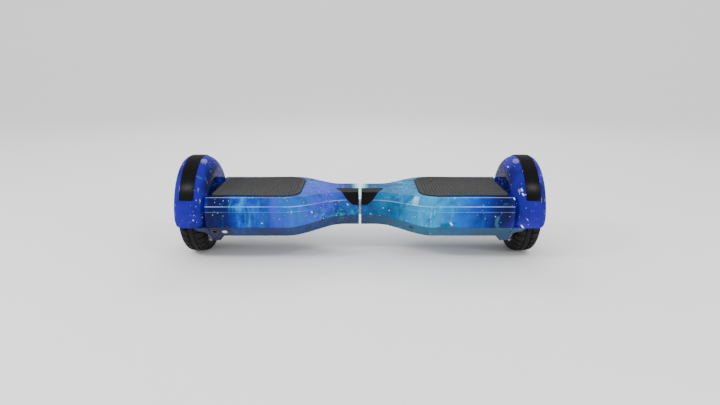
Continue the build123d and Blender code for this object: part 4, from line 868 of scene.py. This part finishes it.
@dataclass
class FootPad:
    """Rubber foot pad with a raised border and rows of small studs."""

    side: Side
    wardrobe: Wardrobe
    stud_pitch: float = 5.4 * MM
    stud_height: float = 0.5 * MM
    stud_radius: float = 1.35 * MM
    stud_taper: float = 0.55
    border: float = 7.0 * MM
    border_rise: float = 0.75
    edge_round: float = 0.8 * MM
    field_step: float = 0.5 * MM
    corner_outer: float = 8.0 * MM
    corner_inner: float = 34.0 * MM
    corner_segments: int = 10
    taper: float = 8.5 * MM

    def build(self) -> list[bpy.types.Object]:
        """Builds the pad.

        Returns:
            The pad, riding on its own body.
        """
        low, high = corners_of(self.side.node("foot_pad"))
        top = high.z - self.stud_height
        bm = bmesh.new()
        self._outline(bm, low, high)
        rise = bmesh.ops.extrude_face_region(bm, geom=list(bm.faces), use_keep_orig=True)
        bmesh.ops.translate(bm, verts=lifted(rise), vec=(0, 0, top - low.z))
        many_sided = [face for face in bm.faces if len(face.verts) > self.corner_segments]
        upper = [face for face in many_sided if face.calc_center_median().z > top - MERGE]
        self._border(bm, upper)
        self._studs(bm, low, high, top)
        piece = object_from(bm, self.side.node("tread_pad"), 40.0)
        hand_over(piece, self.side.node("pad"), self.side.node("foot_pad"), "pad_rubber", self.wardrobe)
        return [piece]

    def _outline(self, bm: bmesh.types.BMesh, low: Vector, high: Vector) -> None:
        """Plan of the pad at its underside, with its corners rounded.

        Args:
            bm: mesh that takes the plan.
            low: lowest corner of the pad.
            high: highest corner of the pad.
        """
        near, far = (low.x, high.x) if self.side is Side.RIGHT else (high.x, low.x)
        half = (high.y - low.y) / 2
        corners = [(near, -half), (far, -half + self.taper), (far, half - self.taper), (near, half)]
        verts = [bm.verts.new((x, y, low.z)) for x, y in corners]
        bm.faces.new(verts)
        pairs = ((verts[0], verts[3], self.corner_inner), (verts[1], verts[2], self.corner_outer))
        for first, second, radius in pairs:
            bmesh.ops.bevel(bm, geom=[first, second], offset=radius, offset_type="OFFSET",
                            segments=self.corner_segments, profile=0.5, affect="VERTICES", material=-1)

    def _border(self, bm: bmesh.types.BMesh, upper: list[bmesh.types.BMFace]) -> None:
        """Rounds the top edge and sinks the field inside the border.

        Args:
            bm: mesh of the pad.
            upper: its top faces.
        """
        rise = self.stud_height * self.border_rise
        bmesh.ops.inset_region(bm, faces=upper, thickness=self.edge_round, use_even_offset=True)
        self._lift(upper, rise)
        bmesh.ops.inset_region(bm, faces=upper, thickness=self.border * 0.5, use_even_offset=True)
        bmesh.ops.inset_region(bm, faces=upper, thickness=self.field_step, use_even_offset=True)
        self._lift(upper, -rise)

    @staticmethod
    def _lift(faces: list[bmesh.types.BMFace], rise: float) -> None:
        """Moves the faces' corners up or down."""
        for face in faces:
            for vert in face.verts:
                vert.co.z += rise

    def _studs(self, bm: bmesh.types.BMesh, low: Vector, high: Vector, top: float) -> None:
        """Staggered rows of small blunt studs over the field.

        Args:
            bm: mesh of the pad.
            low: lowest corner of the pad.
            high: highest corner of the pad.
            top: height of the field.
        """
        columns = int((high.x - low.x) / self.stud_pitch)
        rows = int((high.y - low.y) / self.stud_pitch)
        middle = (low + high) / 2
        turned = Matrix.Rotation(math.pi / 4, 4, "Z")
        for i in range(columns):
            for j in range(rows):
                shift = 0.5 * (i % 2)
                x = (i - (columns - 1) / 2) * self.stud_pitch + middle.x
                y = (j + shift - rows / 2) * self.stud_pitch + middle.y
                if self._in_field(x, y, low, high):
                    place = Matrix.Translation((x, y, top + self.stud_height / 2)) @ turned
                    bmesh.ops.create_cone(bm, cap_ends=True, segments=4, radius1=self.stud_radius,
                                          radius2=self.stud_radius * self.stud_taper,
                                          depth=self.stud_height, matrix=place)

    def _in_field(self, x: float, y: float, low: Vector, high: Vector) -> bool:
        """Whether a stud at this place stands inside the border.

        Args:
            x: place along the board.
            y: place front to back.
            low: lowest corner of the pad.
            high: highest corner of the pad.

        Returns:
            True where a stud fits.
        """
        inward = (x - low.x) if self.side is Side.RIGHT else (high.x - x)
        outward = (high.x - low.x) - inward
        half = (high.y - low.y) / 2
        edge = half - self.taper * inward / (high.x - low.x)
        margin = self.border
        if outward < margin or inward < margin or abs(y) > edge - margin:
            return False
        corner = self.corner_inner
        dx, dy = corner - inward, abs(y) - (half - corner)
        return not (dx > 0 and dy > 0 and math.hypot(dx, dy) > corner - margin)


@dataclass
class BumperStrip:
    """Glossy guard strip over a mudguard, with rounded ends and edges."""

    side: Side
    wardrobe: Wardrobe
    half_angle: float = 70.0
    steps: int = 64
    thickness: float = 2.5 * MM
    crown: float = 0.5 * MM
    end_round: float = 6.0 * MM
    edge_round: float = 0.5 * MM

    def build(self) -> list[bpy.types.Object]:
        """Builds the strip.

        Returns:
            The strip, riding on its half of the board.
        """
        low, high = corners_of(self.side.node("bumper_strip"))
        tyre_low, tyre_high = corners_of(self.side.node("tyre"))
        axle = (tyre_low.z + tyre_high.z) / 2
        middle = Vector(((low.x + high.x) / 2, 0, axle))
        half = (high.x - low.x) / 2
        bm = bmesh.new()
        section = self._section(half, high.z - axle)
        verts = [bm.verts.new(middle + Vector((x, 0, radius))) for x, radius in section]
        start = Matrix.Rotation(math.radians(-self.half_angle), 3, "X")
        bmesh.ops.rotate(bm, verts=verts, cent=middle, matrix=start)
        bmesh.ops.spin(bm, geom=[bm.faces.new(verts)], cent=middle, axis=(1, 0, 0),
                       angle=math.radians(2 * self.half_angle), steps=self.steps, use_duplicate=False)
        corners = [edge for edge in bm.edges if self._is_end_corner(edge, middle, half)]
        bmesh.ops.bevel(bm, geom=corners, offset=self.end_round, offset_type="OFFSET", segments=6,
                        profile=0.5, affect="EDGES", material=-1)
        piece = object_from(bm, self.side.node("guard_strip"))
        soften(piece, self.edge_round)
        body = self.side.value + "_half"
        hand_over(piece, body, self.side.node("bumper_strip"), "black_gloss", self.wardrobe)
        return [piece]

    def _section(self, half: float, outer: float) -> list[tuple[float, float]]:
        """Crowned section across the strip, as distance along the axle and radius.

        Args:
            half: half the width of the strip.
            outer: radius of its crown.

        Returns:
            The points from side to side.
        """
        inner = outer - self.thickness
        low_crown, mid_crown = outer - self.crown, outer - self.crown * 0.3
        return [(-half, inner), (-half, low_crown), (-half * 0.6, mid_crown), (0, outer),
                (half * 0.6, mid_crown), (half, low_crown), (half, inner)]

    def _is_end_corner(self, edge: bmesh.types.BMEdge, middle: Vector, half: float) -> bool:
        """Whether an edge is one of the four upright corners at the strip's ends.

        Args:
            edge: edge of the strip.
            middle: middle of the axle under the strip.
            half: half its width.

        Returns:
            True for a corner to round.
        """
        one, two = (vert.co - middle for vert in edge.verts)
        at_side = abs(abs(one.x) - half) < MERGE and abs(abs(two.x) - half) < MERGE
        angles = [abs(math.degrees(math.atan2(point.y, point.z))) for point in (one, two)]
        return at_side and one.x * two.x > 0 and all(abs(angle - self.half_angle) < 0.1 for angle in angles)


@dataclass
class CarriedNodes:
    """Finishes of the CAD nodes that show as they are."""

    wardrobe: Wardrobe

    def build(self) -> list[bpy.types.Object]:
        """Dresses every node from its slot in the record."""
        for part in frame["record"]["subparts"]:
            self.wardrobe.dress_node(part["node"], part["material_slot"])
            log.info("node %s wears %s", part["node"], part["material_slot"])
        return []


@dataclass(frozen=True)
class Lamp:
    """One soft round lamp aimed at the board."""

    name: str
    place: Triple
    size: float
    power: float


LAMPS = (
    Lamp("key", (-1.7, -0.9, 1.5), 0.5, 20.0),
    Lamp("fill", (1.9, -1.5, 0.9), 0.4, 14.0),
    Lamp("back", (0.0, 1.5, 1.6), 0.8, 16.0),
    Lamp("gleam_left", (-0.72, -0.95, 1.36), 0.3, 5.0),
    Lamp("gleam_right", (0.72, -0.95, 1.36), 0.3, 5.0),
)


@dataclass
class Studio:
    """Pale floor that runs up into a backdrop, soft lights and the camera."""

    distance: float = 1.0729
    tilt: float = 14.69
    target_height: float = 0.0886
    lens: float = 28.77
    sensor: float = 36.0
    view_end: float = 50.0
    sweep_radius: float = 1.5
    sweep_start: float = 2.2
    sweep_steps: int = 16
    sweep_half_width: float = 8.0
    front_edge: float = -6.0
    backdrop_height: float = 6.0
    lamp_target: Triple = (0.0, 0.0, 0.1)
    sky_strength: float = 1.3
    paper: Colour = (0.86, 0.86, 0.86, 1.0)
    paper_shade: float = 0.985

    def build(self) -> list[bpy.types.Object]:
        """Sets up camera, floor, lights and sky."""
        self.camera()
        self.floor()
        for lamp in LAMPS:
            self.light(lamp)
        self.sky()
        return []

    def camera(self) -> None:
        """Places the camera in front of and above the board."""
        data = bpy.data.cameras.new("front_camera")
        data.sensor_width = self.sensor
        data.lens = self.lens
        data.clip_end = self.view_end
        camera = bpy.data.objects.new("front_camera", data)
        angle = math.radians(self.tilt)
        target = Vector((0, 0, self.target_height))
        camera.location = target + Vector((0, -math.cos(angle), math.sin(angle))) * self.distance
        camera.rotation_euler = (math.pi / 2 - angle, 0, 0)
        bpy.context.scene.collection.objects.link(camera)
        bpy.context.scene.camera = camera

    def floor(self) -> None:
        """Sweeps the floor up into a backdrop behind the board."""
        bm = bmesh.new()
        radius, back = self.sweep_radius, self.sweep_start
        turns = [math.pi / 2 * i / self.sweep_steps for i in range(self.sweep_steps + 1)]
        bend = [(back + radius * math.sin(t), radius - radius * math.cos(t)) for t in turns]
        outline = [(self.front_edge, 0.0)] + bend + [(back + radius, self.backdrop_height)]
        verts = [bm.verts.new((-self.sweep_half_width, y, z)) for y, z in outline]
        edges = [bm.edges.new(pair) for pair in zip(verts, verts[1:])]
        swept = bmesh.ops.extrude_edge_only(bm, edges=edges)
        bmesh.ops.translate(bm, verts=lifted(swept), vec=(2 * self.sweep_half_width, 0, 0))
        paper = object_from(bm, "floor_sweep", 60.0)
        book = NodeBook("floor_paper")
        tone = book.noise(3.0, 2.0)
        shade = tuple(part * self.paper_shade for part in self.paper[:3]) + (1.0,)
        paper.data.materials.append(book.finish(Base_Color=book.mix(tone, self.paper, shade), Roughness=0.9))

    def light(self, lamp: Lamp) -> None:
        """Adds one large soft lamp that looks at the board."""
        data = bpy.data.lights.new(lamp.name, "AREA")
        data.shape = "DISK"
        data.size = lamp.size
        data.energy = lamp.power
        made = bpy.data.objects.new(lamp.name, data)
        made.location = lamp.place
        aim = Vector(self.lamp_target) - Vector(lamp.place)
        made.rotation_euler = aim.to_track_quat("-Z", "Y").to_euler()
        bpy.context.scene.collection.objects.link(made)

    def sky(self) -> None:
        """Even pale surroundings."""
        world = bpy.data.worlds.new("studio")
        world.use_nodes = True
        background = world.node_tree.nodes["Background"]
        background.inputs["Color"].default_value = grey(1.0)
        background.inputs["Strength"].default_value = self.sky_strength
        bpy.context.scene.world = world


def main() -> None:
    """Builds every sub-assembly in order and reports its pieces."""
    logging.basicConfig(level=logging.INFO, format="%(name)s: %(message)s")
    wardrobe = Wardrobe()
    assemblies: list[Any] = [CarriedNodes(wardrobe)]
    for side in Side:
        assemblies += [Wheel(side, wardrobe), FootPad(side, wardrobe), BumperStrip(side, wardrobe)]
    assemblies.append(Studio())
    for assembly in assemblies:
        for piece in assembly.build():
            log.info("%s: %d faces", piece.name, len(piece.data.polygons))


if __name__ == "__main__":
    main()
